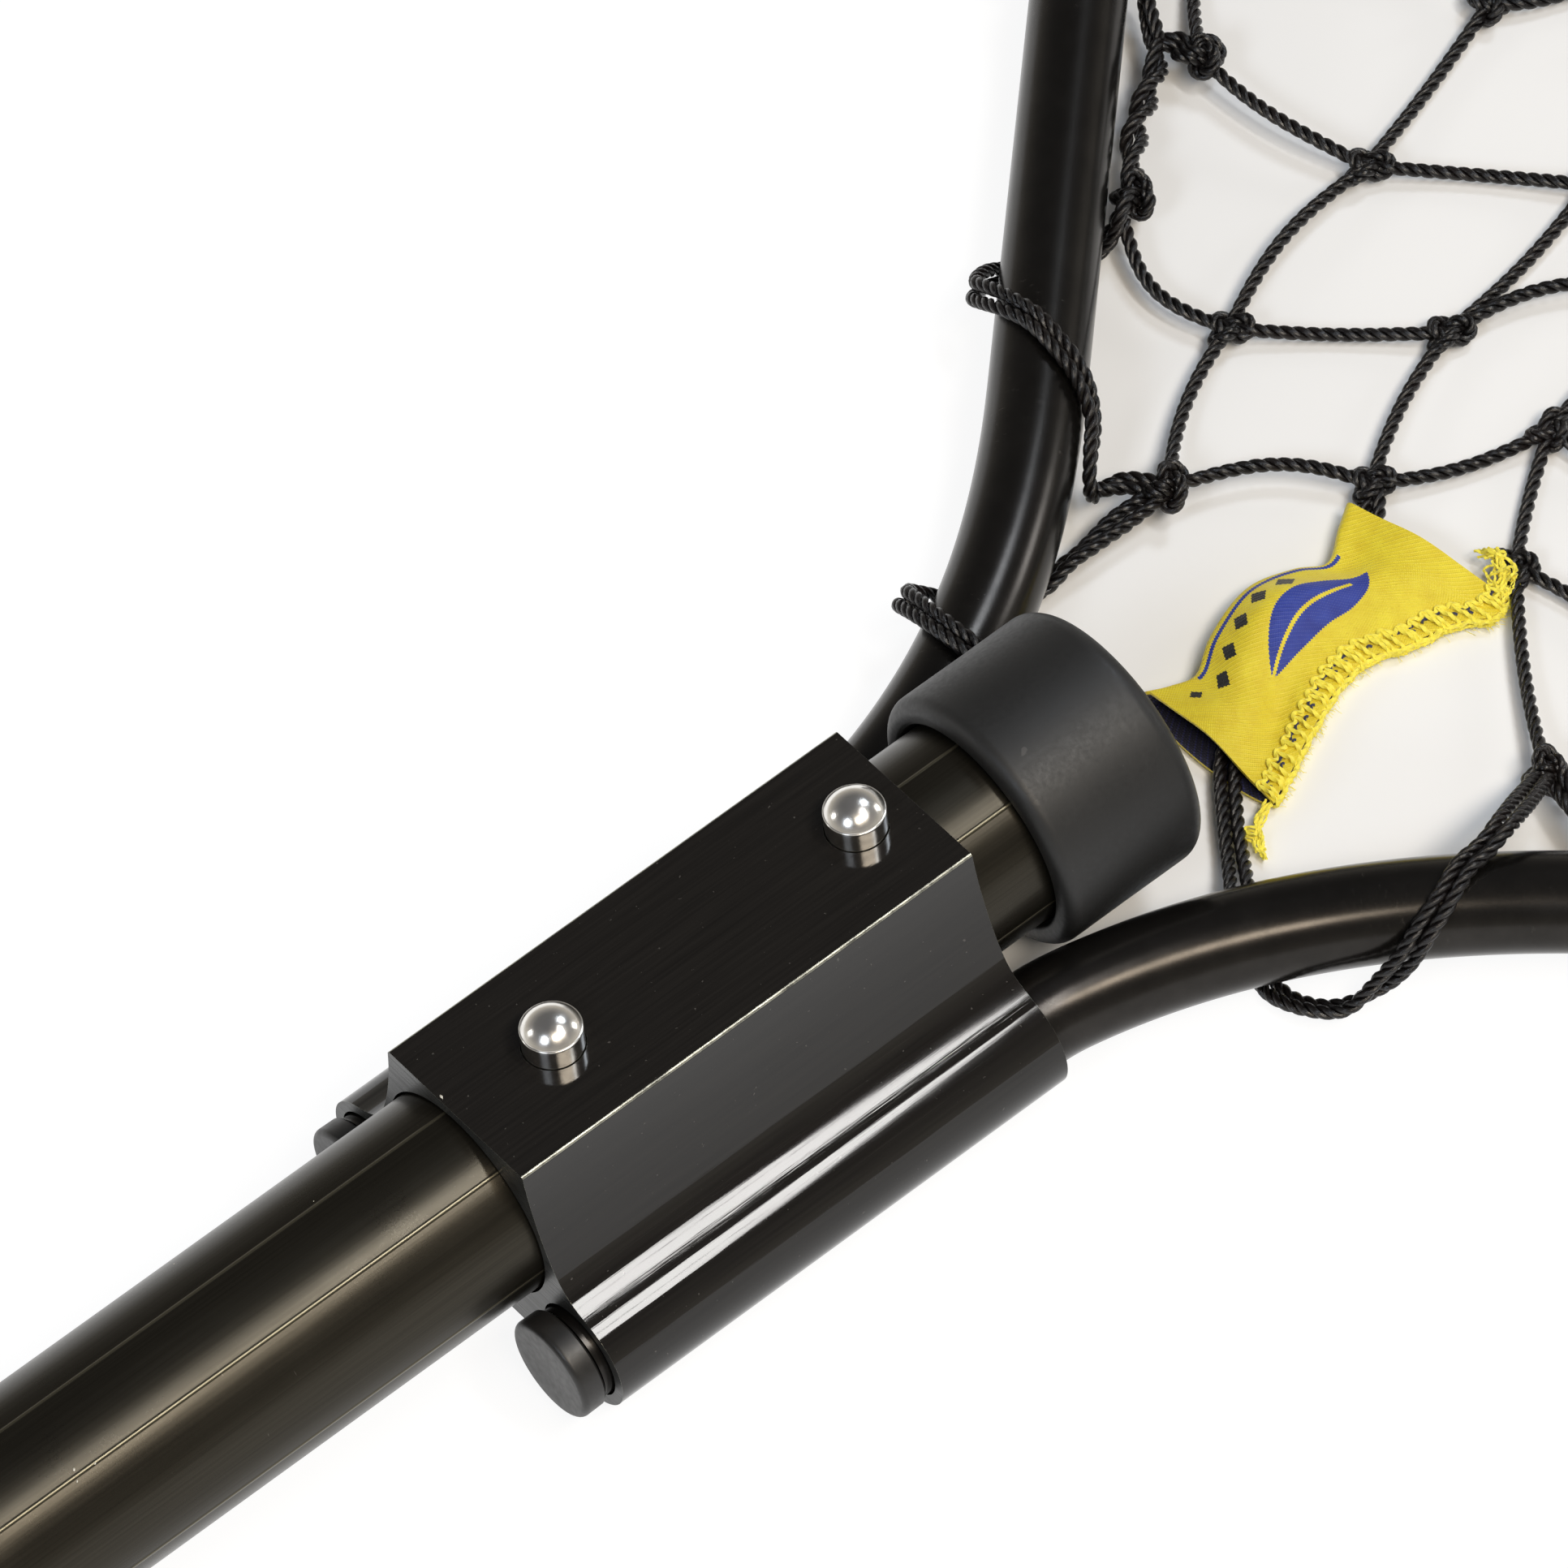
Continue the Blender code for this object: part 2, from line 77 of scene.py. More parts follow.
# ------------------------------------------------------------------ camera
cam_data = bpy.data.cameras.new("camera")
cam_data.lens = 363.09
cam_data.sensor_width = 36.0
cam_data.sensor_fit = "HORIZONTAL"
cam_data.clip_start = 0.05
cam_data.clip_end = 50.0
cam = bpy.data.objects.new("camera", cam_data)
bpy.context.scene.collection.objects.link(cam)
CAM_R = Vector((0.7668131, -0.6363221, -0.0842131))
CAM_U = Vector((0.5481583, 0.5809397, 0.6016906))
CAM_D = Vector((-0.3339463, -0.5075463, 0.7942774))
CAM_AT = Vector(W((-617.88, -966.76, 1567.63)))
cam.matrix_world = Matrix(((CAM_R.x, CAM_U.x, CAM_D.x, CAM_AT.x),
                           (CAM_R.y, CAM_U.y, CAM_D.y, CAM_AT.y),
                           (CAM_R.z, CAM_U.z, CAM_D.z, CAM_AT.z),
                           (0, 0, 0, 1)))
bpy.context.scene.camera = cam
bpy.context.scene.view_settings.view_transform = "Standard"


# ------------------------------------------------------------------ node help
class Mat:
    """A node material with short helpers."""

    def __init__(self, name):
        self.m = bpy.data.materials.new(name)
        self.m.use_nodes = True
        self.nt = self.m.node_tree
        self.b = self.nt.nodes["Principled BSDF"]

    def n(self, kind, **props):
        node = self.nt.nodes.new(kind)
        for k, v in props.items():
            setattr(node, k, v)
        return node

    def put(self, node, key, v):
        if hasattr(v, "is_output") or isinstance(v, bpy.types.NodeSocket):
            self.nt.links.new(v, node.inputs[key])
        else:
            node.inputs[key].default_value = v

    def math(self, op, a, b=0.0, c=None, clamp=False):
        node = self.n("ShaderNodeMath", operation=op, use_clamp=clamp)
        self.put(node, 0, a)
        self.put(node, 1, b)
        if c is not None:
            self.put(node, 2, c)
        return node.outputs[0]

    def obj(self, scale=(1, 1, 1)):
        tc = self.n("ShaderNodeTexCoord")
        mp = self.n("ShaderNodeMapping")
        self.nt.links.new(tc.outputs["Object"], mp.inputs["Vector"])
        mp.inputs["Scale"].default_value = scale
        return mp.outputs[0]

    def attr(self, name, out="Vector"):
        return self.n("ShaderNodeAttribute", attribute_name=name).outputs[out]

    def noise(self, vec, scale, detail=3.0, rough=0.5, out="Fac"):
        node = self.n("ShaderNodeTexNoise")
        self.put(node, "Vector", vec)
        node.inputs["Scale"].default_value = scale
        node.inputs["Detail"].default_value = detail
        node.inputs["Roughness"].default_value = rough
        return node.outputs[out]

    def ramp(self, fac, stops):
        node = self.n("ShaderNodeValToRGB")
        self.put(node, "Fac", fac)
        e = node.color_ramp.elements
        while len(e) < len(stops):
            e.new(0.5)
        for el, (pos, col) in zip(e, stops):
            el.position = pos
            el.color = (*col, 1.0) if len(col) == 3 else col
        return node.outputs["Color"]

    def rng(self, fac, a, b, c, d):
        node = self.n("ShaderNodeMapRange")
        for k, v in zip(("Value", "From Min", "From Max", "To Min", "To Max"),
                        (fac, a, b, c, d)):
            self.put(node, k, v)
        return node.outputs[0]

    def mix(self, fac, a, b):
        node = self.n("ShaderNodeMix", data_type="RGBA")
        self.put(node, 0, fac)
        for key, v in ((6, a), (7, b)):
            if isinstance(v, tuple):
                v = (*v, 1.0)
            self.put(node, key, v)
        return node.outputs[2]

    def bump(self, height, strength, dist, normal=None):
        node = self.n("ShaderNodeBump")
        self.put(node, "Height", height)
        node.inputs["Strength"].default_value = strength
        node.inputs["Distance"].default_value = dist
        if normal is not None:
            self.put(node, "Normal", normal)
        return node.outputs[0]

    def set(self, **kv):
        for k, v in kv.items():
            key = k.replace("_", " ")
            if isinstance(v, tuple) and len(v) == 3:
                v = (*v, 1.0)
            self.put(self.b, key, v)
        return self


def sep(mt, vec):
    node = mt.n("ShaderNodeSeparateXYZ")
    mt.put(node, 0, vec)
    return node.outputs


# ------------------------------------------------------------------ materials
def make_yoke():
    mt = Mat("yoke_gloss_black")
    streak = mt.noise(mt.obj((6, 260, 260)), 8, 3, 0.55)
    fine = mt.noise(mt.obj((30, 1400, 1400)), 4, 2, 0.5)
    cloud = mt.noise(mt.obj(), 60, 4, 0.6)
    dust = mt.noise(mt.obj(), 1500, 2, 0.5)
    specks = mt.rng(dust, 0.735, 0.76, 0.0, 0.35)
    col = mt.ramp(streak, [(0.25, (0.0075, 0.0066, 0.0058)), (0.75, (0.0140, 0.0125, 0.0110))])
    col = mt.mix(specks, col, (0.16, 0.15, 0.14))
    h = mt.math("MULTIPLY_ADD", fine, 0.35, streak)
    mt.set(Base_Color=col, Roughness=mt.rng(cloud, 0.3, 0.75, 0.035, 0.085),
           IOR=1.44, Normal=mt.bump(h, 0.10, 0.00006))
    return mt.m


def make_yoke_edge():
    mt = Mat("yoke_worn_edge_and_painted_highlight")
    n1 = mt.noise(mt.obj(), 900, 4, 0.65)
    n2 = mt.noise(mt.obj(), 130, 3, 0.6)
    # pale edge band: partly worn bare metal, partly a painted highlight standing in for the lamp's reflection along
    # the rounded edges
    wear_and_highlight = mt.rng(mt.math("MULTIPLY", n1, n2), 0.12, 0.30, 0.0, 1.0)
    mt.set(Base_Color=mt.mix(wear_and_highlight, (0.035, 0.036, 0.032), (0.40, 0.40, 0.34)),
           Metallic=mt.rng(wear_and_highlight, 0, 1, 0.35, 0.9), Roughness=mt.rng(n1, 0.3, 0.7, 0.22, 0.42),
           Normal=mt.bump(n1, 0.35, 0.00008))
    return mt.m


def make_yoke_end():
    mt = Mat("yoke_sawn_end")
    lines = mt.noise(mt.obj((40, 40, 2200)), 2, 3, 0.6)
    n2 = mt.noise(mt.obj(), 220, 3, 0.6)
    mt.set(Base_Color=mt.ramp(n2, [(0.3, (0.022, 0.022, 0.021)), (0.75, (0.048, 0.050, 0.048))]),
           Metallic=0.3, Roughness=mt.rng(lines, 0.3, 0.7, 0.24, 0.42),
           Normal=mt.bump(lines, 0.2, 0.00005))
    return mt.m


def make_tube(name, dark, light, rough, ridge=False, marks=False):
    mt = Mat(name)
    streak = mt.noise(mt.obj((5, 420, 420) if ridge else (1, 1, 1)), 6 if ridge else 240, 4, 0.6)
    cloud = mt.noise(mt.obj(), 35, 4, 0.6)
    grain = mt.noise(mt.obj(), 2600, 2, 0.6)
    col = mt.ramp(streak, [(0.25, dark), (0.75, light)])
    r = mt.math("ADD", mt.rng(cloud, 0.3, 0.7, rough - 0.035, rough + 0.035),
                mt.rng(grain, 0.3, 0.7, -0.015, 0.015))
    h = mt.math("MULTIPLY_ADD", grain, 0.5, streak)
    if ridge:
        # the three ridges are painted a lighter olive: painted highlight along the ridge tops
        ridge_painted_highlight = mt.attr("ridge", "Fac")
        col = mt.mix(ridge_painted_highlight, col, (0.135, 0.122, 0.085))
        scr = mt.noise(mt.obj((300, 40, 40)), 5, 3, 0.7)
        col = mt.mix(mt.rng(scr, 0.74, 0.80, 0.0, 0.30), col, (0.30, 0.28, 0.24))
    if marks:
        a = sep(mt, mt.attr("along"))
        vec = mt.n("ShaderNodeCombineXYZ")
        mt.put(vec, 0, mt.math("MULTIPLY", a[0], 1.4))
        mt.put(vec, 1, mt.math("MULTIPLY", a[1], 0.55))
        mt.put(vec, 2, mt.math("MULTIPLY", a[2], 0.55))
        tick = mt.noise(vec.outputs[0], 1.0, 4, 0.7)
        zone = mt.noise(vec.outputs[0], 0.06, 2, 0.5)
        m = mt.math("MULTIPLY", mt.rng(tick, 0.60, 0.72, 0.0, 1.0),
                    mt.rng(zone, 0.48, 0.60, 0.0, 0.55))
        col = mt.mix(m, col, (0.085, 0.080, 0.072))
        r = mt.math("ADD", r, mt.math("MULTIPLY", m, 0.10))
        h = mt.math("MULTIPLY_ADD", m, 1.2, h)
    mt.set(Base_Color=col, Metallic=0.85, Roughness=r, Normal=mt.bump(h, 0.12, 0.00003))
    mt.b.inputs["Specular IOR Level"].default_value = 0.5
    return mt.m


def make_rubber(name, c0, c1, rough, scale=1500):
    mt = Mat(name)
    grain = mt.noise(mt.obj(), scale, 3, 0.6)
    cloud = mt.noise(mt.obj(), 45, 4, 0.6)
    pit = mt.noise(mt.obj(), 420, 2, 0.5)
    spot = mt.rng(pit, 0.745, 0.775, 0.0, 0.5)
    col = mt.ramp(cloud, [(0.3, c0), (0.7, c1)])
    col = mt.mix(spot, col, (0.075, 0.072, 0.070))
    mt.set(Base_Color=col, Roughness=mt.rng(grain, 0.3, 0.7, rough - 0.05, rough + 0.06),
           Normal=mt.bump(grain, 0.16, 0.00005))
    return mt.m


def make_foam():
    mt = Mat("foam_grip")
    v = mt.n("ShaderNodeTexVoronoi")
    mt.put(v, "Vector", mt.obj())
    v.inputs["Scale"].default_value = 1300
    n1 = mt.noise(mt.obj(), 500, 4, 0.7)
    n2 = mt.noise(mt.obj(), 40, 3, 0.6)
    h = mt.math("MULTIPLY_ADD", n1, 0.8, v.outputs["Distance"])
    mt.set(Base_Color=mt.ramp(n2, [(0.3, (0.012, 0.012, 0.0125)), (0.7, (0.024, 0.024, 0.025))]),
           Roughness=mt.rng(n1, 0.3, 0.7, 0.78, 0.95), Normal=mt.bump(h, 0.5, 0.00018))
    mt.b.inputs["Sheen Weight"].default_value = 0.15
    return mt.m


def make_chrome(name="chrome_button"):
    mt = Mat(name)
    n1 = mt.noise(mt.obj(), 900, 3, 0.6)
    n2 = mt.noise(mt.obj(), 5200, 2, 0.5)
    pits = mt.rng(n2, 0.72, 0.76, 0.0, 0.5)
    mt.set(Base_Color=mt.mix(pits, (0.93, 0.90, 0.85), (0.40, 0.38, 0.35)), Metallic=1.0,
           Roughness=mt.rng(n1, 0.35, 0.75, 0.20, 0.27), Normal=mt.bump(n1, 0.05, 0.00003))
    mt.b.inputs["Coat Weight"].default_value = 0.55
    mt.b.inputs["Coat Roughness"].default_value = 0.05
    mt.b.inputs["Coat IOR"].default_value = 1.6
    return mt.m


def make_steel():
    mt = Mat("spring_steel")
    n1 = mt.noise(mt.obj((1, 1, 1)), 700, 3, 0.6)
    mt.set(Base_Color=mt.ramp(n1, [(0.3, (0.33, 0.33, 0.33)), (0.7, (0.50, 0.49, 0.47))]),
           Metallic=1.0, Roughness=mt.rng(n1, 0.3, 0.7, 0.2, 0.36))
    return mt.m


def make_nylon():
    """Glossy black twisted nylon: fine filaments run along each strand."""
    mt = Mat("black_nylon_cord")
    f = mt.attr("fibre")
    fil = mt.noise(f, 2.4, 3, 0.65)
    tint = mt.noise(mt.obj(), 130, 3, 0.6)
    col = mt.ramp(fil, [(0.30, (0.0020, 0.0018, 0.0020)), (0.70, (0.0085, 0.0070, 0.0070))])
    col = mt.mix(mt.rng(tint, 0.50, 0.75, 0.0, 0.6), col, (0.014, 0.0095, 0.0085))
    mt.set(Base_Color=col, Roughness=mt.rng(fil, 0.3, 0.7, 0.17, 0.33), IOR=1.50,
           Normal=mt.bump(fil, 0.55, 0.00012))
    return mt.m


def make_thread(name, col, dark, scale=2.0):
    mt = Mat(name)
    f = mt.attr("fibre")
    n1 = mt.noise(f, scale, 3, 0.6)
    mt.set(Base_Color=mt.ramp(n1, [(0.25, dark), (0.65, col)]), Roughness=0.62,
           Normal=mt.bump(n1, 0.6, 0.0001))
    mt.b.inputs["Sheen Weight"].default_value = 0.25
    mt.b.inputs["Subsurface Weight"].default_value = 0.12
    mt.b.inputs["Subsurface Radius"].default_value = (0.0008, 0.0007, 0.0002)
    return mt.m


def weave_height(mt, uv, per_mm):
    """A close twill: height from two crossed waves in millimetre coordinates."""
    x, y = uv[0], uv[1]
    k = 2 * math.pi * per_mm
    wx = mt.math("SINE", mt.math("MULTIPLY", x, k))
    wy = mt.math("SINE", mt.math("MULTIPLY", y, k))
    d = mt.math("SINE", mt.math("MULTIPLY", mt.math("ADD", x, y), k * 0.5))
    return mt.math("MULTIPLY_ADD", mt.math("MULTIPLY", wx, wy), 0.6, mt.math("MULTIPLY", d, 0.4))


def make_label():
    """Woven yellow label with a plain blue border line and a blue leaf shape."""
    mt = Mat("label_woven_yellow")
    uv = sep(mt, mt.attr("cloth"))           # x along the label, y from the seam, mm
    wv = weave_height(mt, uv, 2.6)
    n1 = mt.noise(mt.obj(), 420, 4, 0.6)
    n2 = mt.noise(mt.obj(), 3000, 2, 0.6)
    yel = mt.ramp(n1, [(0.30, (0.74, 0.57, 0.016)), (0.70, (0.84, 0.70, 0.030))])
    # raised weave crests painted paler yellow: painted highlight on the threads
    yel = mt.mix(mt.rng(wv, 0.35, 1.0, 0.0, 0.35), yel, (0.92, 0.84, 0.16))
    yel = mt.mix(mt.rng(n2, 0.62, 0.72, 0.0, 0.5), yel, (0.60, 0.42, 0.006))
    blue = mt.ramp(n1, [(0.30, (0.011, 0.027, 0.27)), (0.70, (0.024, 0.052, 0.36))])
    # raised weave crests of the blue painted paler: painted highlight on the threads
    blue = mt.mix(mt.rng(wv, 0.6, 1.0, 0.0, 0.4), blue, (0.20, 0.26, 0.62))
    ragged = mt.math("MULTIPLY", mt.math("SINE", mt.math("MULTIPLY", uv[0], 16.0)), 0.10)
    yy = mt.math("ADD", uv[1], ragged)

    def band(lo, hi):
        a = mt.math("GREATER_THAN", yy, lo)
        b = mt.math("LESS_THAN", yy, hi)
        return mt.math("MULTIPLY", a, b)

    def span(lo, hi):
        a = mt.math("GREATER_THAN", uv[0], lo)
        b = mt.math("LESS_THAN", uv[0], hi)
        return mt.math("MULTIPLY", a, b)

    def disc(cx, cy, r):
        dx = mt.math("SUBTRACT", uv[0], cx)
        dy = mt.math("SUBTRACT", yy, cy)
        q = mt.math("ADD", mt.math("MULTIPLY", dx, dx), mt.math("MULTIPLY", dy, dy))
        return mt.math("LESS_THAN", q, r * r)

    line = mt.math("MULTIPLY", band(21.0, 21.7), span(6.0, 33.0))
    leaf = mt.math("MULTIPLY", disc(26.4, -0.3, 17.0), disc(19.4, 22.8, 15.0))
    rib = mt.math("ABSOLUTE", mt.math("SUBTRACT", mt.math("SUBTRACT", yy, 12.4), mt.math(
        "MULTIPLY", mt.math("SUBTRACT", uv[0], 22.5), 0.30)))
    vein = mt.math("MULTIPLY", mt.math("LESS_THAN", rib, 0.33), span(10.0, 29.5))
    pat = mt.math("MAXIMUM", line, leaf)
    pat = mt.math("SUBTRACT", pat, vein, clamp=True)
    # a row of plain woven lozenges
    dots = None
    for cx, cy, rx in ((3.8, 18.6, 0.9), (7.6, 17.4, 1.35), (11.4, 18.0, 1.35), (15.6, 18.6, 1.35),
                       (19.8, 19.0, 1.35), (23.8, 18.9, 1.35)):
        d = mt.math("ADD", mt.math("DIVIDE", mt.math("ABSOLUTE", mt.math("SUBTRACT", uv[0], cx)), rx),
                    mt.math("DIVIDE", mt.math("ABSOLUTE", mt.math("SUBTRACT", yy, cy)), rx * 1.15))
        d = mt.math("LESS_THAN", d, 1.0)
        dots = d if dots is None else mt.math("MAXIMUM", dots, d)
    yel = mt.mix(dots, yel, mt.ramp(n1, [(0.3, (0.006, 0.006, 0.008)), (0.7, (0.03, 0.028, 0.025))]))
    mt.set(Base_Color=mt.mix(pat, yel, blue), Roughness=mt.rng(wv, -1, 1, 0.62, 0.42),
           Normal=mt.bump(wv, 0.42, 0.00012, mt.bump(n1, 0.15, 0.0002)))
    mt.b.inputs["Sheen Weight"].default_value = 0.25
    mt.b.inputs["Sheen Roughness"].default_value = 0.4
    return mt.m


def make_label_back():
    mt = Mat("label_woven_navy")
    uv = sep(mt, mt.attr("cloth"))
    wv = weave_height(mt, uv, 1.7)
    mt.set(Base_Color=mt.mix(mt.rng(wv, 0.2, 1.0, 0.0, 0.7), (0.004, 0.005, 0.030), (0.03, 0.035, 0.20)),
           Roughness=0.6, Normal=mt.bump(wv, 0.6, 0.0002))
    mt.b.inputs["Sheen Weight"].default_value = 0.2
    return mt.m


def make_speck():
    mt = Mat("bare_metal_nick")
    n1 = mt.noise(mt.obj(), 2000, 2, 0.6)
    mt.set(Base_Color=mt.ramp(n1, [(0.3, (0.55, 0.52, 0.42)), (0.7, (0.9, 0.88, 0.80))]),
           Metallic=0.4, Roughness=0.45)
    return mt.m


YOKE_M, YOKE_EDGE_M, YOKE_END_M = make_yoke(), make_yoke_edge(), make_yoke_end()
HANDLE_M = make_tube("handle_satin_black", (0.030, 0.0265, 0.020), (0.046, 0.041, 0.031), 0.30, ridge=True)
HOOP_M = make_tube("hoop_satin_black", (0.026, 0.024, 0.022), (0.038, 0.035, 0.032), 0.235, marks=True)
CAP_M = make_rubber("cap_black_rubber", (0.0095, 0.0095, 0.0095), (0.014, 0.014, 0.014), 0.48)
PLUG_M = make_rubber("plug_black_plastic", (0.010, 0.0095, 0.009), (0.016, 0.015, 0.014), 0.40, 900)
BUTT_M = make_rubber("butt_black_rubber", (0.014, 0.014, 0.014), (0.022, 0.022, 0.022), 0.58, 1100)
FOAM_M, CHROME_M, STEEL_M = make_foam(), make_chrome(), make_steel()
NYLON_M = make_nylon()
YTHREAD_M = make_thread("yellow_overlock_thread", (1.0, 0.90, 0.10), (0.92, 0.74, 0.03))
NTHREAD_M = make_thread("navy_needle_thread", (0.03, 0.035, 0.10), (0.01, 0.01, 0.04))
LABEL_M, LABEL_BACK_M, SPECK_M = make_label(), make_label_back(), make_speck()


# ------------------------------------------------------------------ mesh help
def new_object(name, verts, faces, mats, smooth=True, sharp=None, attrs=(), slots=None):
    """Object from verts in millimetres; attrs are (name, kind, array) per vertex."""
    me = bpy.data.meshes.new(name)
    v = W(verts).astype(np.float32)
    faces = [np.asarray(f, np.int32) for f in faces]       # blocks of equal-sized faces
    nv, nl = len(v), sum(f.size for f in faces)
    nf = sum(len(f) for f in faces)
    me.vertices.add(nv)
    me.vertices.foreach_set("co", v.ravel())
    me.loops.add(nl)
    me.polygons.add(nf)
    me.loops.foreach_set("vertex_index", np.concatenate([f.ravel() for f in faces]))
    starts, s = [], 0
    for f in faces:
        starts.append(s + np.arange(len(f)) * f.shape[1])
        s += f.size
    me.polygons.foreach_set("loop_start", np.concatenate(starts).astype(np.int32))
    if slots is not None:
        me.polygons.foreach_set("material_index", np.asarray(slots, np.int32))
    me.update(calc_edges=True)
    me.validate()
    for m in (mats if isinstance(mats, (list, tuple)) else [mats]):
        me.materials.append(m)
    if smooth:
        me.shade_smooth()
    if sharp:
        me.set_sharp_from_angle(angle=math.radians(sharp))
    for an, kind, arr in attrs:
        at = me.attributes.new(an, kind, "POINT")
        arr = np.asarray(arr, np.float32)
        at.data.foreach_set("vector" if kind == "FLOAT_VECTOR" else "value", arr.ravel())
    ob = bpy.data.objects.new(name, me)
    bpy.context.scene.collection.objects.link(ob)
    return ob


def grid_faces(n, m, closed_m=True, closed_n=False, base=0):
    """Quads of an n x m vertex grid (m round the section)."""
    i = np.arange(n if closed_n else n - 1)
    j = np.arange(m if closed_m else m - 1)
    I, J = np.meshgrid(i, j, indexing="ij")
    I2, J2 = (I + 1) % n, (J + 1) % m
    return base + np.stack([I * m + J, I * m + J2, I2 * m + J2, I2 * m + J], -1).reshape(-1, 4)


def frames_along(path, up0=None):
    """Unit tangents and two normals carried along a polyline without twist."""
    p = np.asarray(path, float)
    t = np.gradient(p, axis=0)
    t /= np.linalg.norm(t, axis=1)[:, None]
    u = np.zeros_like(p)
    up = np.array(up0 if up0 is not None else (0.0, 0.0, 1.0), float)
    up -= t[0] * (up @ t[0])
    if np.linalg.norm(up) < 1e-6:
        up = np.cross(t[0], (1.0, 0.3, 0.1))
    u[0] = up / np.linalg.norm(up)
    for i in range(1, len(p)):
        q = u[i - 1] - t[i] * (u[i - 1] @ t[i])
        u[i] = q / np.linalg.norm(q)
    return t, u, np.cross(t, u)


def resample(path, step):
    p = np.asarray(path, float)
    seg = np.linalg.norm(np.diff(p, axis=0), axis=1)
    s = np.concatenate([[0.0], np.cumsum(seg)])
    n = max(3, int(round(s[-1] / step)) + 1)
    q = np.linspace(0, s[-1], n)
    return np.stack([np.interp(q, s, p[:, k]) for k in range(3)], 1), q


def smooth_path(points, per=12):
    """Catmull-Rom curve through the points."""
    p = np.asarray(points, float)
    p = np.vstack([2 * p[0] - p[1], p, 2 * p[-1] - p[-2]])
    t = np.linspace(0, 1, per, endpoint=False)[:, None]
    out = []
    for i in range(1, len(p) - 2):
        a, b, c, d = p[i - 1], p[i], p[i + 1], p[i + 2]
        out.append(0.5 * (2 * b + (c - a) * t + (2 * a - 5 * b + 4 * c - d) * t ** 2
                          + (3 * b - a - 3 * c + d) * t ** 3))
    out.append(p[-2][None])
    return np.vstack(out)


class Bundle:
    """Collects many small tubes into one mesh."""

    def __init__(self):
        self.v, self.q, self.caps, self.f, self.n = [], [], {}, [], 0

    def tube(self, ring, m, fib=None):
        """ring is (n, m, 3): sections along a path; both ends are closed."""
        n = ring.shape[0]
        self.v.append(ring.reshape(-1, 3))
        self.q.append(grid_faces(n, m, base=self.n))
        self.caps.setdefault(m, []).append(self.n + np.arange(m)[::-1])
        self.caps[m].append(self.n + (n - 1) * m + np.arange(m))
        if fib is None:
            fib = np.zeros((n * m, 3))
        self.f.append(fib.reshape(-1, 3))
        self.n += n * m

    def tris(self):
        return 2 * sum(len(q) for q in self.q) + sum((m - 2) * len(c) for m, c in self.caps.items())

    def build(self, name, mat):
        faces = [np.concatenate(self.q)] + [np.array(c) for c in self.caps.values()]
        # faces above run against the outward side, so they are turned round
        faces = [f[:, ::-1] for f in faces]
        return new_object(name, np.concatenate(self.v), faces, mat, sharp=60,
                          attrs=[("fibre", "FLOAT_VECTOR", np.concatenate(self.f))])


def rope(bundle, path, radius, lay, near, phase=0.0, taper=None):
    """Three strands laid round each other along path (near), or one lobed,
    twisted tube with the same outline (far)."""
    step = lay / (11.0 if near else 5.5)
    p, s = resample(path, step)
    t, u, w = frames_along(p)
    k = 1.0 if taper is None else np.interp(s / s[-1], *taper)
    k = np.broadcast_to(k, s.shape)
    th = phase + 2 * math.pi * s / lay
    if near:
        rs = radius / 2.08
        ro = radius - rs
        m = 8
        a = 2 * math.pi * np.arange(m) / m
        for strand in range(3):
            ph = th + 2 * math.pi * strand / 3
            c = p + (ro * k)[:, None] * (np.cos(ph)[:, None] * u + np.sin(ph)[:, None] * w)
            # the section is squeezed where strands press on each other
            A = ph[:, None] + a[None, :]
            rad = rs * (1.0 + 0.10 * np.cos(2 * (a[None, :] - math.pi / 2)) ** 1) * k[:, None]
            ring = c[:, None, :] + rad[..., None] * (np.cos(A)[..., None] * u[:, None, :]
                                                     + np.sin(A)[..., None] * w[:, None, :])
            fa = a[None, :] + 0.9 * s[:, None]
            fib = np.stack([np.cos(fa) * 1.7, np.sin(fa) * 1.7,
                            np.broadcast_to(s[:, None] * 0.22 + strand * 9.0 + phase, fa.shape)], -1)
            bundle.tube(ring, m, fib)
    else:
        m = 9
        a = 2 * math.pi * np.arange(m) / m
        A = th[:, None] + a[None, :]
        rad = radius * (0.86 + 0.14 * np.cos(3 * a))[None, :] * k[:, None]
        ring = p[:, None, :] + rad[..., None] * (np.cos(A)[..., None] * u[:, None, :]
                                                 + np.sin(A)[..., None] * w[:, None, :])
        fib = np.stack([np.broadcast_to(np.cos(a) * 2.5, A.shape), np.broadcast_to(np.sin(a) * 2.5, A.shape),
                        np.broadcast_to(s[:, None] * 0.3 + phase, A.shape)], -1)
        bundle.tube(ring, m, fib)


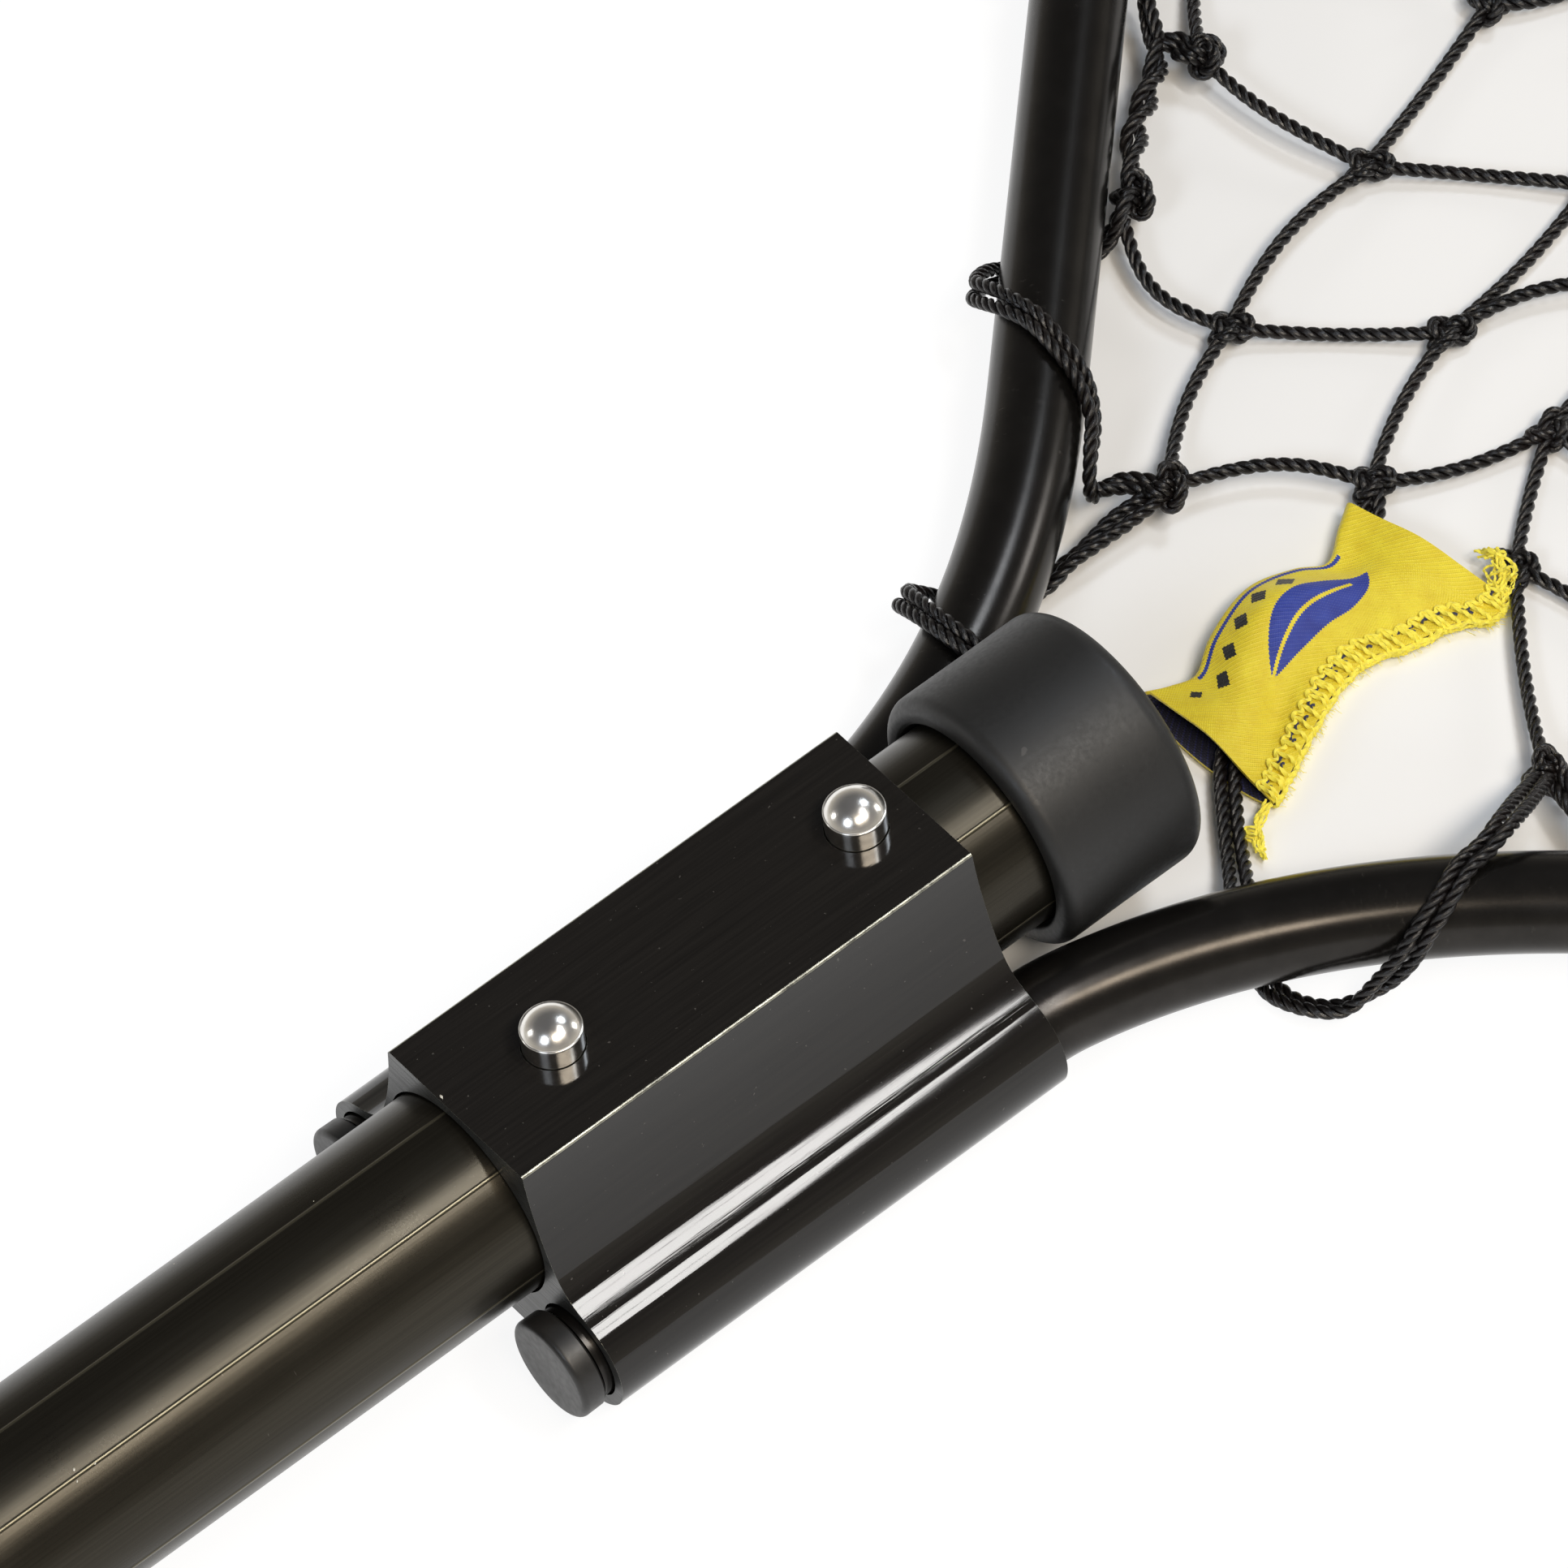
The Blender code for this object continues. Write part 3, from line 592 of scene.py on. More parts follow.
def turned(name, profile, n, mat, x0=0.0, y0=0.0, z0=0.0, along="x", sharp=30, attrs=None):
    """Turn a closed or axis-to-axis profile of (radius, height) about an axis."""
    prof = np.asarray(profile, float)
    ang = 2 * math.pi * np.arange(n) / n
    verts, index = [], []
    for r, h in prof:
        if r < 1e-9:
            index.append([len(verts)])
            verts.append((0.0, 0.0, h))
        else:
            index.append(list(range(len(verts), len(verts) + n)))
            verts += [(r * math.cos(a), r * math.sin(a), h) for a in ang]
    quads, tris = [], []
    pairs = list(zip(index, index[1:]))
    if prof[0][0] > 1e-9:
        pairs.append((index[-1], index[0]))
    for A, B in pairs:
        for j in range(n):
            k = (j + 1) % n
            if len(A) == 1 and len(B) == 1:
                continue
            if len(A) == 1:
                tris.append((A[0], B[j], B[k]))
            elif len(B) == 1:
                tris.append((A[j], B[0], A[k]))
            else:
                quads.append((A[j], B[j], B[k], A[k]))
    v = np.array(verts)
    if along == "x":
        v = np.stack([v[:, 2], v[:, 1], -v[:, 0]], 1)      # height to +X
    v = v + (x0, y0, z0)
    faces = [np.array(f) for f in (quads, tris) if f]
    ob = new_object(name, v, faces, mat, sharp=sharp, attrs=attrs(v) if attrs else ())
    bm = bmesh.new()
    bm.from_mesh(ob.data)
    bmesh.ops.recalc_face_normals(bm, faces=bm.faces)
    bm.to_mesh(ob.data)
    bm.free()
    return ob


def arc(cr, ch, r, a0, a1, n=8):
    return [(cr + r * math.cos(math.radians(a0 + (a1 - a0) * i / n)),
             ch + r * math.sin(math.radians(a0 + (a1 - a0) * i / n))) for i in range(n + 1)]


def apply_modifiers(ob):
    dg = bpy.context.evaluated_depsgraph_get()
    me = bpy.data.meshes.new_from_object(ob.evaluated_get(dg))
    ob.modifiers.clear()
    old = ob.data
    ob.data = me
    me.name = ob.name
    bpy.data.meshes.remove(old)


def cutter(r, depth, at, axis="z", n=48):
    bm = bmesh.new()
    bmesh.ops.create_cone(bm, cap_ends=True, segments=n, radius1=r * 0.001, radius2=r * 0.001,
                          depth=depth * 0.001)
    me = bpy.data.meshes.new("cutter")
    bm.to_mesh(me)
    bm.free()
    ob = bpy.data.objects.new("cutter", me)
    bpy.context.scene.collection.objects.link(ob)
    ob.location = W(at)
    if axis == "x":
        ob.rotation_euler = (0, math.pi / 2, 0)
    bpy.context.view_layer.update()
    return ob


def drop(ob):
    me = ob.data
    bpy.data.objects.remove(ob, do_unlink=True)
    bpy.data.meshes.remove(me)


# ------------------------------------------------------------------ hoop centre line
def hoop_line():
    """Left mouth to right mouth; the same eased bend, 45 degree arm and round
    front as the tube in the frame."""
    step, R, K, A = 0.5, 255.0, math.radians(9), math.radians(45)
    x, y, s = YOKE_HALF - 0.4, BARREL_Y, 0.0
    pts = [(x, y)]

    def heading(q):
        a = K * min(1.0, q / 7.0)
        t = min(1.0, max(0.0, (q - 2.0) / 76.0))
        return a + (A - K) * (1 - (1 - t) ** 1.35)

    while s < 79.0:
        h = heading(s + step / 2)
        x += step * math.cos(h)
        y += step * math.sin(h)
        s += step
        pts.append((x, y))
    cx = (x - y) + R * math.sqrt(2)
    tx = cx - R / math.sqrt(2)
    n = int(round((tx - x) / math.cos(A) / step))
    pts += [(x + (tx - x) * i / n, y + (tx - x) * i / n) for i in range(1, n + 1)]
    a0 = 0.75 * math.pi
    n = int(round(R * a0 / step))
    pts += [(cx + R * math.cos(a0 * (1 - i / n)), R * math.sin(a0 * (1 - i / n)))
            for i in range(1, n + 1)]
    return np.array(pts + [(px, -py) for px, py in reversed(pts[:-1])])


LINE = hoop_line()
ARC = np.concatenate([[0], np.cumsum(np.linalg.norm(np.diff(LINE, axis=0), axis=1))])
HOOP_LEN = ARC[-1]
TAN = np.gradient(LINE, axis=0)
TAN /= np.linalg.norm(TAN, axis=1)[:, None]


def on_hoop(s, deg=0.0, radius=0.0):
    """Point at arc length s, turned deg from the hoop's outside towards its top."""
    x, y = np.interp(s, ARC, LINE[:, 0]), np.interp(s, ARC, LINE[:, 1])
    tx, ty = np.interp(s, ARC, TAN[:, 0]), np.interp(s, ARC, TAN[:, 1])
    a = math.radians(deg)
    out = radius * math.cos(a)
    return np.array([x - ty * out, y + tx * out, BARREL_Z + radius * math.sin(a)])


# ------------------------------------------------------------------ yoke
def yoke_outline():
    top, half_w, er = yhi.z * 1000.0, 13.0, 0.5
    half = [(half_w - er * (1 - math.sin(math.radians(a))), top - er * (1 - math.cos(math.radians(a))))
            for a in np.linspace(0, 90, 13)]
    z0, z1 = top - er, 16.95
    n = 44
    for i in range(1, n + 1):
        q = 1.0 - (1.0 - i / n) ** 1.8
        half.append((half_w + 2.0 * q + 3.6 * q ** 2.2 + 2.6 * q ** 14, z0 + (z1 - z0) * q))
    a0 = math.acos((half[-1][0] + 0.9 - BARREL_Y) / 8.2)
    a1 = -math.pi + math.asin((BARREL_Z - 3.2) / 8.2)
    n = 84
    half += [(BARREL_Y + 8.2 * math.cos(a0 + (a1 - a0) * i / n),
              BARREL_Z + 8.2 * math.sin(a0 + (a1 - a0) * i / n)) for i in range(n + 1)]
    return half + [(-y, z) for y, z in reversed(half)]


def ring2(cx, cy, r, n):
    return [(cx + r * math.cos(2 * math.pi * i / n), cy + r * math.sin(2 * math.pi * i / n))
            for i in range(n)]


cu = bpy.data.curves.new("yoke_section", "CURVE")
cu.dimensions = "2D"
cu.fill_mode = "BOTH"
cu.extrude = YOKE_HALF * 0.001
for loop in (yoke_outline(), ring2(0, HANDLE_Z, 14.65, 144), ring2(BARREL_Y, BARREL_Z, 6.7, 72),
             ring2(-BARREL_Y, BARREL_Z, 6.7, 72)):
    sp = cu.splines.new("POLY")
    sp.points.add(len(loop) - 1)
    for p, q in zip(sp.points, loop):
        p.co = (q[0] * 0.001, q[1] * 0.001, 0, 1)
    sp.use_cyclic_u = True
section = bpy.data.objects.new("yoke_section", cu)
bpy.context.scene.collection.objects.link(section)
section.matrix_world = Matrix(((0, 0, 1, YX * 0.001), (1, 0, 0, 0), (0, 1, 0, 0), (0, 0, 0, 1)))
bpy.context.view_layer.update()
me = bpy.data.meshes.new_from_object(section.evaluated_get(bpy.context.evaluated_depsgraph_get()))
me.transform(section.matrix_world)
bpy.data.objects.remove(section, do_unlink=True)
bpy.data.curves.remove(cu)
bm = bmesh.new()
bm.from_mesh(me)
bmesh.ops.remove_doubles(bm, verts=bm.verts, dist=2e-7)
bmesh.ops.dissolve_limit(bm, angle_limit=math.radians(0.05), verts=bm.verts,
                         edges=[e for e in bm.edges if len(e.link_faces) == 2
                                and abs(e.link_faces[0].normal.x) > 0.99
                                and abs(e.link_faces[1].normal.x) > 0.99])
bmesh.ops.recalc_face_normals(bm, faces=bm.faces)
bm.to_mesh(me)
bm.free()
me.name = "yoke_body"
me.materials.clear()
for m in (YOKE_M, YOKE_EDGE_M, YOKE_END_M):
    me.materials.append(m)
yoke = bpy.data.objects.new("yoke_body", me)
bpy.context.scene.collection.objects.link(yoke)
BUTTON_X = []
for nm in ("front_button", "rear_button"):
    lo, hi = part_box(nm)
    BUTTON_X.append((lo.x + hi.x) / 2 * 1000.0 - YX)
cuts = [cutter(4.08, 8, (bx, 0, 37.0)) for bx in BUTTON_X]
cuts += [cutter(1.9, 6, (-8.0, s * BARREL_Y, -0.4), n=24) for s in (1, -1)]
for c in cuts:
    md = yoke.modifiers.new("cut", "BOOLEAN")
    md.operation, md.solver, md.object = "DIFFERENCE", "EXACT", c
bpy.context.view_layer.update()
apply_modifiers(yoke)
for c in cuts:
    drop(c)
md = yoke.modifiers.new("edge", "BEVEL")
md.width, md.segments, md.limit_method = 0.00022, 2, "ANGLE"
md.angle_limit = math.radians(50)
# bevelled edges take the pale edge material: partly worn metal, partly painted highlight
md.material = 1
md.use_clamp_overlap = True
bpy.context.view_layer.update()
apply_modifiers(yoke)
me = yoke.data
for p in me.polygons:
    if p.material_index == 0 and abs(p.normal.x) > 0.995:
        p.material_index = 2
# the top's long rounded edges take the pale edge material as well: painted highlight along them, partly worn metal
for p in me.polygons:
    c = p.center
    if (p.material_index == 0 and abs(p.normal.x) < 0.3 and 0.30 < abs(p.normal.y) < 0.93
            and abs(c.y) * 1000.0 > 12.4 and c.z > yhi.z - 0.0006):
        p.material_index = 1
me.shade_smooth()
me.set_sharp_from_angle(angle=math.radians(40))
md = yoke.modifiers.new("normals", "WEIGHTED_NORMAL")
md.mode, md.weight, md.keep_sharp = "FACE_AREA", 100, True
bpy.context.view_layer.update()
apply_modifiers(yoke)
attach(yoke, "frame")
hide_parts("yoke")

# ------------------------------------------------------------------ handle tube
RIDGES = (9.2, -32.6, -97.0)          # degrees from the top towards +Y


def tube_profile(n=180, base=None):
    ang = list(np.arange(0, 360, 360 / n))
    for rd in RIDGES:
        ang += [(rd + d) % 360 for d in (-1.7, -1.1, -0.75, -0.4, 0, 0.4, 0.75, 1.1, 1.7)]
    ang = np.unique(np.round(ang, 4))
    keep = [ang[0]]
    for a in ang[1:]:
        if a - keep[-1] > 0.12:
            keep.append(a)
    ang = np.array(keep)
    bump = np.zeros_like(ang)
    for rd in RIDGES:
        dd = (ang - rd + 180) % 360 - 180
        bump = np.maximum(bump, np.exp(-(dd / 0.85) ** 4))
    return np.radians(ang), bump


ang, bump = tube_profile()
xs = [HANDLE_FRONT, HANDLE_FRONT - 12]
for bx in BUTTON_X:
    xs += [bx + 7, bx - 7]
xs += list(np.linspace(BUTTON_X[1] - 22, HANDLE_REAR, 22))
xs = np.array(sorted(xs, reverse=True))
m = len(ang)


def ring_at(x, r, b):
    rr = r + 0.07 * b
    return np.stack([np.full(m, x), rr * np.sin(ang), HANDLE_Z + rr * np.cos(ang)], 1)


outer = np.concatenate([ring_at(x, HANDLE_R, bump) for x in xs])
inner = np.concatenate([ring_at(x, HANDLE_R - 1.3, bump * 0) for x in xs])
n = len(xs)
f_out = grid_faces(n, m)
f_in = grid_faces(n, m, base=n * m)[:, ::-1]
j = np.arange(m)
k = (j + 1) % m
front = np.stack([n * m + j, n * m + k, k, j], 1)
rear = np.stack([(n - 1) * m + j, (n - 1) * m + k, n * m + (n - 1) * m + k, n * m + (n - 1) * m + j], 1)
handle = new_object("handle_tube_fine", np.concatenate([outer, inner]),
                    [np.concatenate([f_out, f_in, front, rear])], HANDLE_M, smooth=False,
                    attrs=[("ridge", "FLOAT", np.concatenate([np.tile(bump, n), np.zeros(n * m)]))])
bm = bmesh.new()
bm.from_mesh(handle.data)
bmesh.ops.recalc_face_normals(bm, faces=bm.faces)
bm.to_mesh(handle.data)
bm.free()
cuts = [cutter(4.3, 8, (bx, 0, 35.0)) for bx in BUTTON_X]
for c in cuts:
    md = handle.modifiers.new("cut", "BOOLEAN")
    md.operation, md.solver, md.object = "DIFFERENCE", "EXACT", c
bpy.context.view_layer.update()
apply_modifiers(handle)
for c in cuts:
    drop(c)
handle.data.shade_smooth()
handle.data.set_sharp_from_angle(angle=math.radians(40))
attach(handle, "handle")
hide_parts("handle_tube")

# ------------------------------------------------------------------ hoop tube
s_list = [0.0]
while s_list[-1] < HOOP_LEN / 2:
    s = s_list[-1]
    s_list.append(s + (1.0 if s < 12 else 1.6 if s < 160 else 4.0))
s_half = [s for s in s_list if s < HOOP_LEN / 2 - 1]
s_all = np.array(s_half + [HOOP_LEN / 2] + [HOOP_LEN - s for s in reversed(s_half)])
xs_in = np.linspace(HOOP_END, YOKE_HALF - 1.0, 14)
cl = ([(x, BARREL_Y) for x in xs_in] + [tuple(on_hoop(s)[:2]) for s in s_all]
      + [(x, -BARREL_Y) for x in xs_in[::-1]])
cl = np.array([(x, y, BARREL_Z) for x, y in cl])
t = np.gradient(cl, axis=0)
t /= np.linalg.norm(t, axis=1)[:, None]
nrm = np.stack([-t[:, 1], t[:, 0], np.zeros(len(t))], 1)
m = 56
a = 2 * math.pi * np.arange(m) / m
n = len(cl)


def hoop_rings(r):
    return (cl[:, None, :] + r * (np.cos(a)[None, :, None] * nrm[:, None, :]
                                  + np.sin(a)[None, :, None] * np.array([0, 0, 1.0]))).reshape(-1, 3)


run = np.concatenate([[0], np.cumsum(np.linalg.norm(np.diff(cl, axis=0), axis=1))])
along = np.stack([np.repeat(run, m), np.tile(np.cos(a) * 6.35, n), np.tile(np.sin(a) * 6.35, n)], 1)
j = np.arange(m)
k = (j + 1) % m
faces = np.concatenate([grid_faces(n, m)[:, ::-1], grid_faces(n, m, base=n * m),
                        np.stack([j, k, n * m + k, n * m + j], 1)[:, ::-1],
                        np.stack([(n - 1) * m + j, (n - 1) * m + k, (2 * n - 1) * m + k, (2 * n - 1) * m + j], 1)])
hoop = new_object("hoop_tube_fine", np.concatenate([hoop_rings(HOOP_R), hoop_rings(HOOP_R - 1.2)]),
                  [faces], HOOP_M, sharp=40,
                  attrs=[("along", "FLOAT_VECTOR", np.concatenate([along, along]))])
bm = bmesh.new()
bm.from_mesh(hoop.data)
bmesh.ops.recalc_face_normals(bm, faces=bm.faces)
bm.to_mesh(hoop.data)
bm.free()
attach(hoop, "frame")
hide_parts("hoop_tube")

# ------------------------------------------------------------------ end plugs
for side, nm in ((1, "hoop_plug_left"), (-1, "hoop_plug_right")):
    h0 = HOOP_END - 0.3
    prof = ([(0.0, 12.0), (4.0, 12.0), (4.8, 11.2), (4.8, 0.0), (6.6, 0.0), (6.75, -0.05)]
            + [(6.95, -0.3)] + arc(7.0 - 0.8, -3.4 + 0.8, 0.8, 0, -90)
            + [(4.6, -3.36), (2.4, -3.25), (0.0, -3.20)])
    ob = turned(nm + "_fine", prof, 64, PLUG_M, h0, side * BARREL_Y, BARREL_Z)
    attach(ob, "frame")
    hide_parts(nm)

# ------------------------------------------------------------------ rubber cap
prof = ([(0.0, 67.5), (6.0, 67.48), (12.0, 67.38)] + arc(18.15 - 2.7, 67.5 - 2.7, 2.7, 84, 0, 12)
        + [(18.15, 62.5), (18.12, 56.0)] + arc(18.15 - 2.1, 45.2 + 2.1, 2.1, 0, -90, 10)
        + arc(15.4, 45.75, 0.55, -90, -180, 5)
        + [(HANDLE_R + 0.34, 46.4), (HANDLE_R + 0.32, 65.5), (0.0, 65.5)])
cap = turned("front_cap_fine", prof, 144, CAP_M, 0, 0, HANDLE_Z)
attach(cap, "handle")
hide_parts("front_cap")

# ------------------------------------------------------------------ buttons
for bx, nm in zip(BUTTON_X, ("front_button", "rear_button")):
    lo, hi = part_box(nm)
    top, foot = hi.z * 1000.0, lo.z * 1000.0
    ring = top - 2.0
    rd = 3.72
    sph = (rd ** 2 + 4.0) / 4.0
    am = math.degrees(math.asin(rd / sph))
    dome = [(sph * math.sin(math.radians(am * i / 20)), top - sph + sph * math.cos(math.radians(am * i / 20)))
            for i in range(21)]
    prof = dome + [(3.76, ring - 0.05)] + arc(3.78, ring - 0.28, 0.17, 90, 0, 4) + [
        (3.95, ring - 0.6), (3.95, foot), (0.0, foot)]
    ob = turned(nm + "_fine", prof, 96, CHROME_M, bx, 0, 0, along="z", sharp=50)
    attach(ob, nm)
    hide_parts(nm)

# ------------------------------------------------------------------ grip and butt
gf, gr = -606.0, -832.0
prof = [(HANDLE_R + 0.32, gf)] + arc(HANDLE_R + 1.2, gf - 1.0, 1.0, 90, 20, 5)
prof += [(16.4, gf - 6.0), (17.2, gf - 16.0), (17.6, gf - 30.0)]
for i in range(9):                      # shallow moulded finger rings
    c = gf - 46.0 - i * 13.0
    prof += [(17.6, c + 3.0), (17.35, c + 1.4), (17.0, c + 0.5), (16.95, c), (17.0, c - 0.5),
             (17.35, c - 1.4), (17.6, c - 3.0)]
prof += [(17.6, gr + 60.0), (17.7, gr + 45.0), (18.1, gr + 30.0), (18.9, gr + 14.0), (19.5, gr + 5.0),
         (19.75, gr + 0.5), (19.5, gr), (HANDLE_R + 0.32, gr)]
grip = turned("foam_grip_fine", prof, 96, FOAM_M, 0, 0, HANDLE_Z, sharp=50)
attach(grip, "handle")
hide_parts("foam_grip")

bf, br, R = -831.4, -854.16, 21.35
prof = [(0.0, HANDLE_REAR - 0.3), (HANDLE_R + 0.32, HANDLE_REAR - 0.3), (HANDLE_R + 0.32, bf - 1.0),
        (R - 1.4, bf - 1.0)] + arc(R - 1.4, bf - 2.4, 1.4, 90, 0, 6)
prof += [(R, bf - 6.0), (R - 0.5, bf - 6.6), (R - 0.5, bf - 7.6), (R, bf - 8.2)]
prof += arc(R - 4.0, br + 4.0, 4.0, 0, -90, 12)
prof += [(10.0, br), (9.4, br + 0.5), (8.6, br + 0.5), (8.0, br), (0.0, br)]
butt = turned("butt_cap_fine", prof, 112, BUTT_M, 0, 0, HANDLE_Z, sharp=40)
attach(butt, "handle")
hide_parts("butt_cap")

# carried-over hidden pieces get their own finish
for nm, mt in (("front_button_spring", STEEL_M), ("rear_button_spring", STEEL_M),
               ("hoop_rivet_left", STEEL_M), ("hoop_rivet_right", STEEL_M)):
    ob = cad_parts[nm]
    ob.data.materials.clear()
    ob.data.materials.append(mt)
    if nm.endswith("_spring"):      # each spring gets a mesh of its own; the leaf closes as its button goes down 7.2 mm
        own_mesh(ob)

# ------------------------------------------------------------------ netting
CORD_R, LAY = 0.98, 5.4
CAP_AXIS_Z, CAP_R = HANDLE_Z, 18.15


def cap_floor(y):
    """Height of the cap's underside over y, which is how high the net may lie
    where the handle slides forward over it."""
    y = np.abs(np.asarray(y, float))
    return np.where(y < CAP_R, CAP_AXIS_Z - np.sqrt(np.maximum(0.0, CAP_R ** 2 - y ** 2)), 99.0)


def lift(p, z):
    """A throat knot's place when it sits at height z instead of 1.5 mm."""
    return np.array([p[0] - 0.49 * (z - 1.5), p[1] - 0.66 * (z - 1.5), z])


# throat knots: lattice coordinates, place on the table, height, fixed
THROAT = {(0, 0): (128.3, 50.8, 2.6), (0, 1): (158.5, 58.8, 2.6), (1, 0): (148.1, 31.1, 2.4),
          (0, -1): (106.1, 36.7, 5.0), (-1, 0): (133.8, 75.8, 5.2), (-1, 1): (154.9, 87.3, 4.6),
          (0, 2): (187.6, 68.3, 2.4), (1, -1): (125.1, 19.5, 2.6), (2, -1): (147.0, 10.4, 2.3),
          (2, -2): (129.4, -3.2, 1.75), (2, -3): (111.1, -29.7, 4.2), (1, 1): (177.2, 36.7, 2.3)}
RIM_KEYS = [(0, -1), (-1, 0), (-1, 1), (2, -3)]
keys = list(THROAT)
ab = np.array(keys, float)
tp = np.array([THROAT[k][:2] for k in keys])
M = np.linalg.lstsq(np.column_stack([np.ones(len(ab)), ab]), tp, rcond=None)[0]
VA = np.array([18.6, -18.4])
VB = np.array([21.8, 14.6])
BASE = tp[0]


def ideal(a, b):
    p = BASE + a * VA + b * VB
    r = np.linalg.norm(tp - p, axis=1)
    w = np.exp(-(r / 30.0) ** 2)
    off = tp - (BASE + ab @ np.stack([VA, VB]))
    return p + (w[:, None] * off).sum(0) / (w.sum() + 0.25)


def rim_distance(p):
    return np.linalg.norm(LINE - p, axis=1).min()


def inside(p):
    x, y = p
    if x < 70:
        return False
    poly = LINE
    c = False
    j = len(poly) - 1
    xi, yi = poly[:, 0], poly[:, 1]
    xj, yj = np.roll(xi, 1), np.roll(yi, 1)
    hit = ((yi > y) != (yj > y)) & (x < (xj - xi) * (y - yi) / (yj - yi + 1e-12) + xi)
    return bool(hit.sum() % 2)


nodes, kind, coord = [], [], {}


def add_node(p, z, k, key=None):
    nodes.append([p[0], p[1], z])
    kind.append(k)
    if key is not None:
        coord[key] = len(nodes) - 1
    return len(nodes) - 1


for key, v in THROAT.items():
    q = lift(v, v[2])
    add_node(q[:2], q[2], "pin", key)
for a in range(-14, 32):
    for b in range(-12, 32):
        if (a, b) in coord:
            continue
        p = ideal(a, b)
        if inside(p) and p[0] > 132 and rim_distance(p) > 27.0 and \
                np.linalg.norm(tp - p, axis=1).min() > 15:
            p = p + RNG.normal(0, 2.6, 2)
            add_node(p, 2.3, "free", (a, b))

# rim knots, tied on the doubled cord inside the hoop
S_END = HOOP_LEN
PERIOD = (S_END - 68.0 - 138.0) / 28
rim = []                                  # (index, arc length, wraps after it)
rim.append((coord[(0, -1)], 57.0, True))
rim.append((coord[(-1, 0)], 111.0, False))
rim.append((coord[(-1, 1)], 138.0, True))
for jn in range(1, 29):
    for off, wraps in ((-27.0, False), (0.0, True)):
        s = 138.0 + PERIOD * jn + off
        if jn == 28 and wraps:
            rim.append((coord[(2, -3)], s, True))
            continue
        if jn == 28 and S_END - s < 90:
            continue
        c = on_hoop(s)
        tx, ty = np.interp(s, ARC, TAN[:, 0]), np.interp(s, ARC, TAN[:, 1])
        inset = 13.5 + RNG.uniform(-1.2, 3.2)
        p = np.array([c[0] + ty * inset, c[1] - tx * inset])
        rim.append((add_node(p, 4.6 + RNG.uniform(-0.5, 0.6), "rim"), s, wraps))

P = np.array(nodes)
edges = set()
for (a, b), i in coord.items():
    for da, db in ((1, 0), (0, 1)):
        k = coord.get((a + da, b + db))
        if k is not None:
            edges.add((i, k))
edges.discard((coord[(-1, 0)], coord[(-1, 1)]))
rim_auto = [r for r in rim if kind[r[0]] == "rim"]
load = {r[0]: 0 for r in rim_auto}
wants = []
for (a, b), i in coord.items():
    if i in (coord[(0, -1)], coord[(-1, 0)]):
        continue
    for da, db in ((1, 0), (-1, 0), (0, 1), (0, -1)):
        if (a + da, b + db) in coord:
            continue
        aim = ideal(a + da, b + db)
        for r in rim_auto:
            d = np.linalg.norm(P[r[0], :2] - aim)
            far = np.linalg.norm(P[r[0], :2] - P[i, :2])
            if d < 26 and far < 41:
                wants.append((d, i, r[0], (da, db)))
wants.sort()
served = set()
for d, i, r, way in wants:
    if (i, way) in served or load[r] >= 2 or (i, r) in edges:
        continue
    edges.add((i, r))
    served.add((i, way))
    load[r] += 1
edges = np.array(sorted(edges))

# relax: bars no longer than their cord, knots clear of the middle line
free = np.array([k == "free" for k in kind])
for it in range(260):
    d = P[edges[:, 1], :2] - P[edges[:, 0], :2]
    ln = np.linalg.norm(d, axis=1)
    want = np.clip(ln, 22.5, 27.6)
    c = (d / ln[:, None]) * ((ln - want) * 0.30)[:, None]
    mv = np.zeros((len(P), 2))
    np.add.at(mv, edges[:, 0], c)
    np.add.at(mv, edges[:, 1], -c)
    P[free, :2] += mv[free]
    y = P[:, 1]
    push = free & (np.abs(y) < 7.4)
    P[push, 1] += np.where(y[push] >= 0, 0.5, -0.5) * np.minimum(1, 7.6 - np.abs(y[push]))
P[free, 2] = 2.15 + RNG.uniform(0, 0.5, free.sum())

# explicit bows where the throat's bars are seen
BOW = {((-1, 1), (0, 1)): (153.9, 73.0), ((-1, 0), (0, 0)): (124.8, 60.0),
       ((0, -1), (1, -1)): (115.6, 30.2), ((2, -3), (2, -2)): (118.6, -17.2),
       ((0, 1), (0, 2)): (174.6, 63.6), ((0, 1), (1, 1)): (168.0, 47.5),
       ((0, 0), (0, 1)): (143.6, 56.4), ((0, 0), (1, 0)): (137.2, 41.0),
       ((0, -1), (0, 0)): (116.0, 44.6), ((1, -1), (1, 0)): (136.2, 26.0),
       ((1, -1), (2, -1)): (135.6, 13.0), ((2, -2), (2, -1)): (137.6, 3.7), ((1, 0), (1, 1)): (162.3, 32.6)}
bow_at = {}
for (k0, k1), q in BOW.items():
    i, j = coord[k0], coord[k1]
    bow_at[(min(i, j), max(i, j))] = np.array(q)
CAM_P = np.array((-617.88, -966.76, 1567.63))
CR, CU_, CD = (np.array(v) for v in (CAM_R, CAM_U, CAM_D))


def in_view(p, pad=0.10):
    v = np.asarray(p, float) - CAM_P
    z = -(v @ CD)
    f = 363.09 / 36.0
    return abs(f * (v @ CR) / z) < 0.5 + pad and abs(f * (v @ CU_) / z) < 0.5 + pad


degree = {}
for i, j in edges:
    degree.setdefault(int(i), []).append(int(j))
    degree.setdefault(int(j), []).append(int(i))

near_b, far_b = Bundle(), [Bundle()]


def pick(near):
    if near:
        return near_b
    if far_b[-1].tris() > 120000:
        far_b.append(Bundle())
    return far_b[-1]


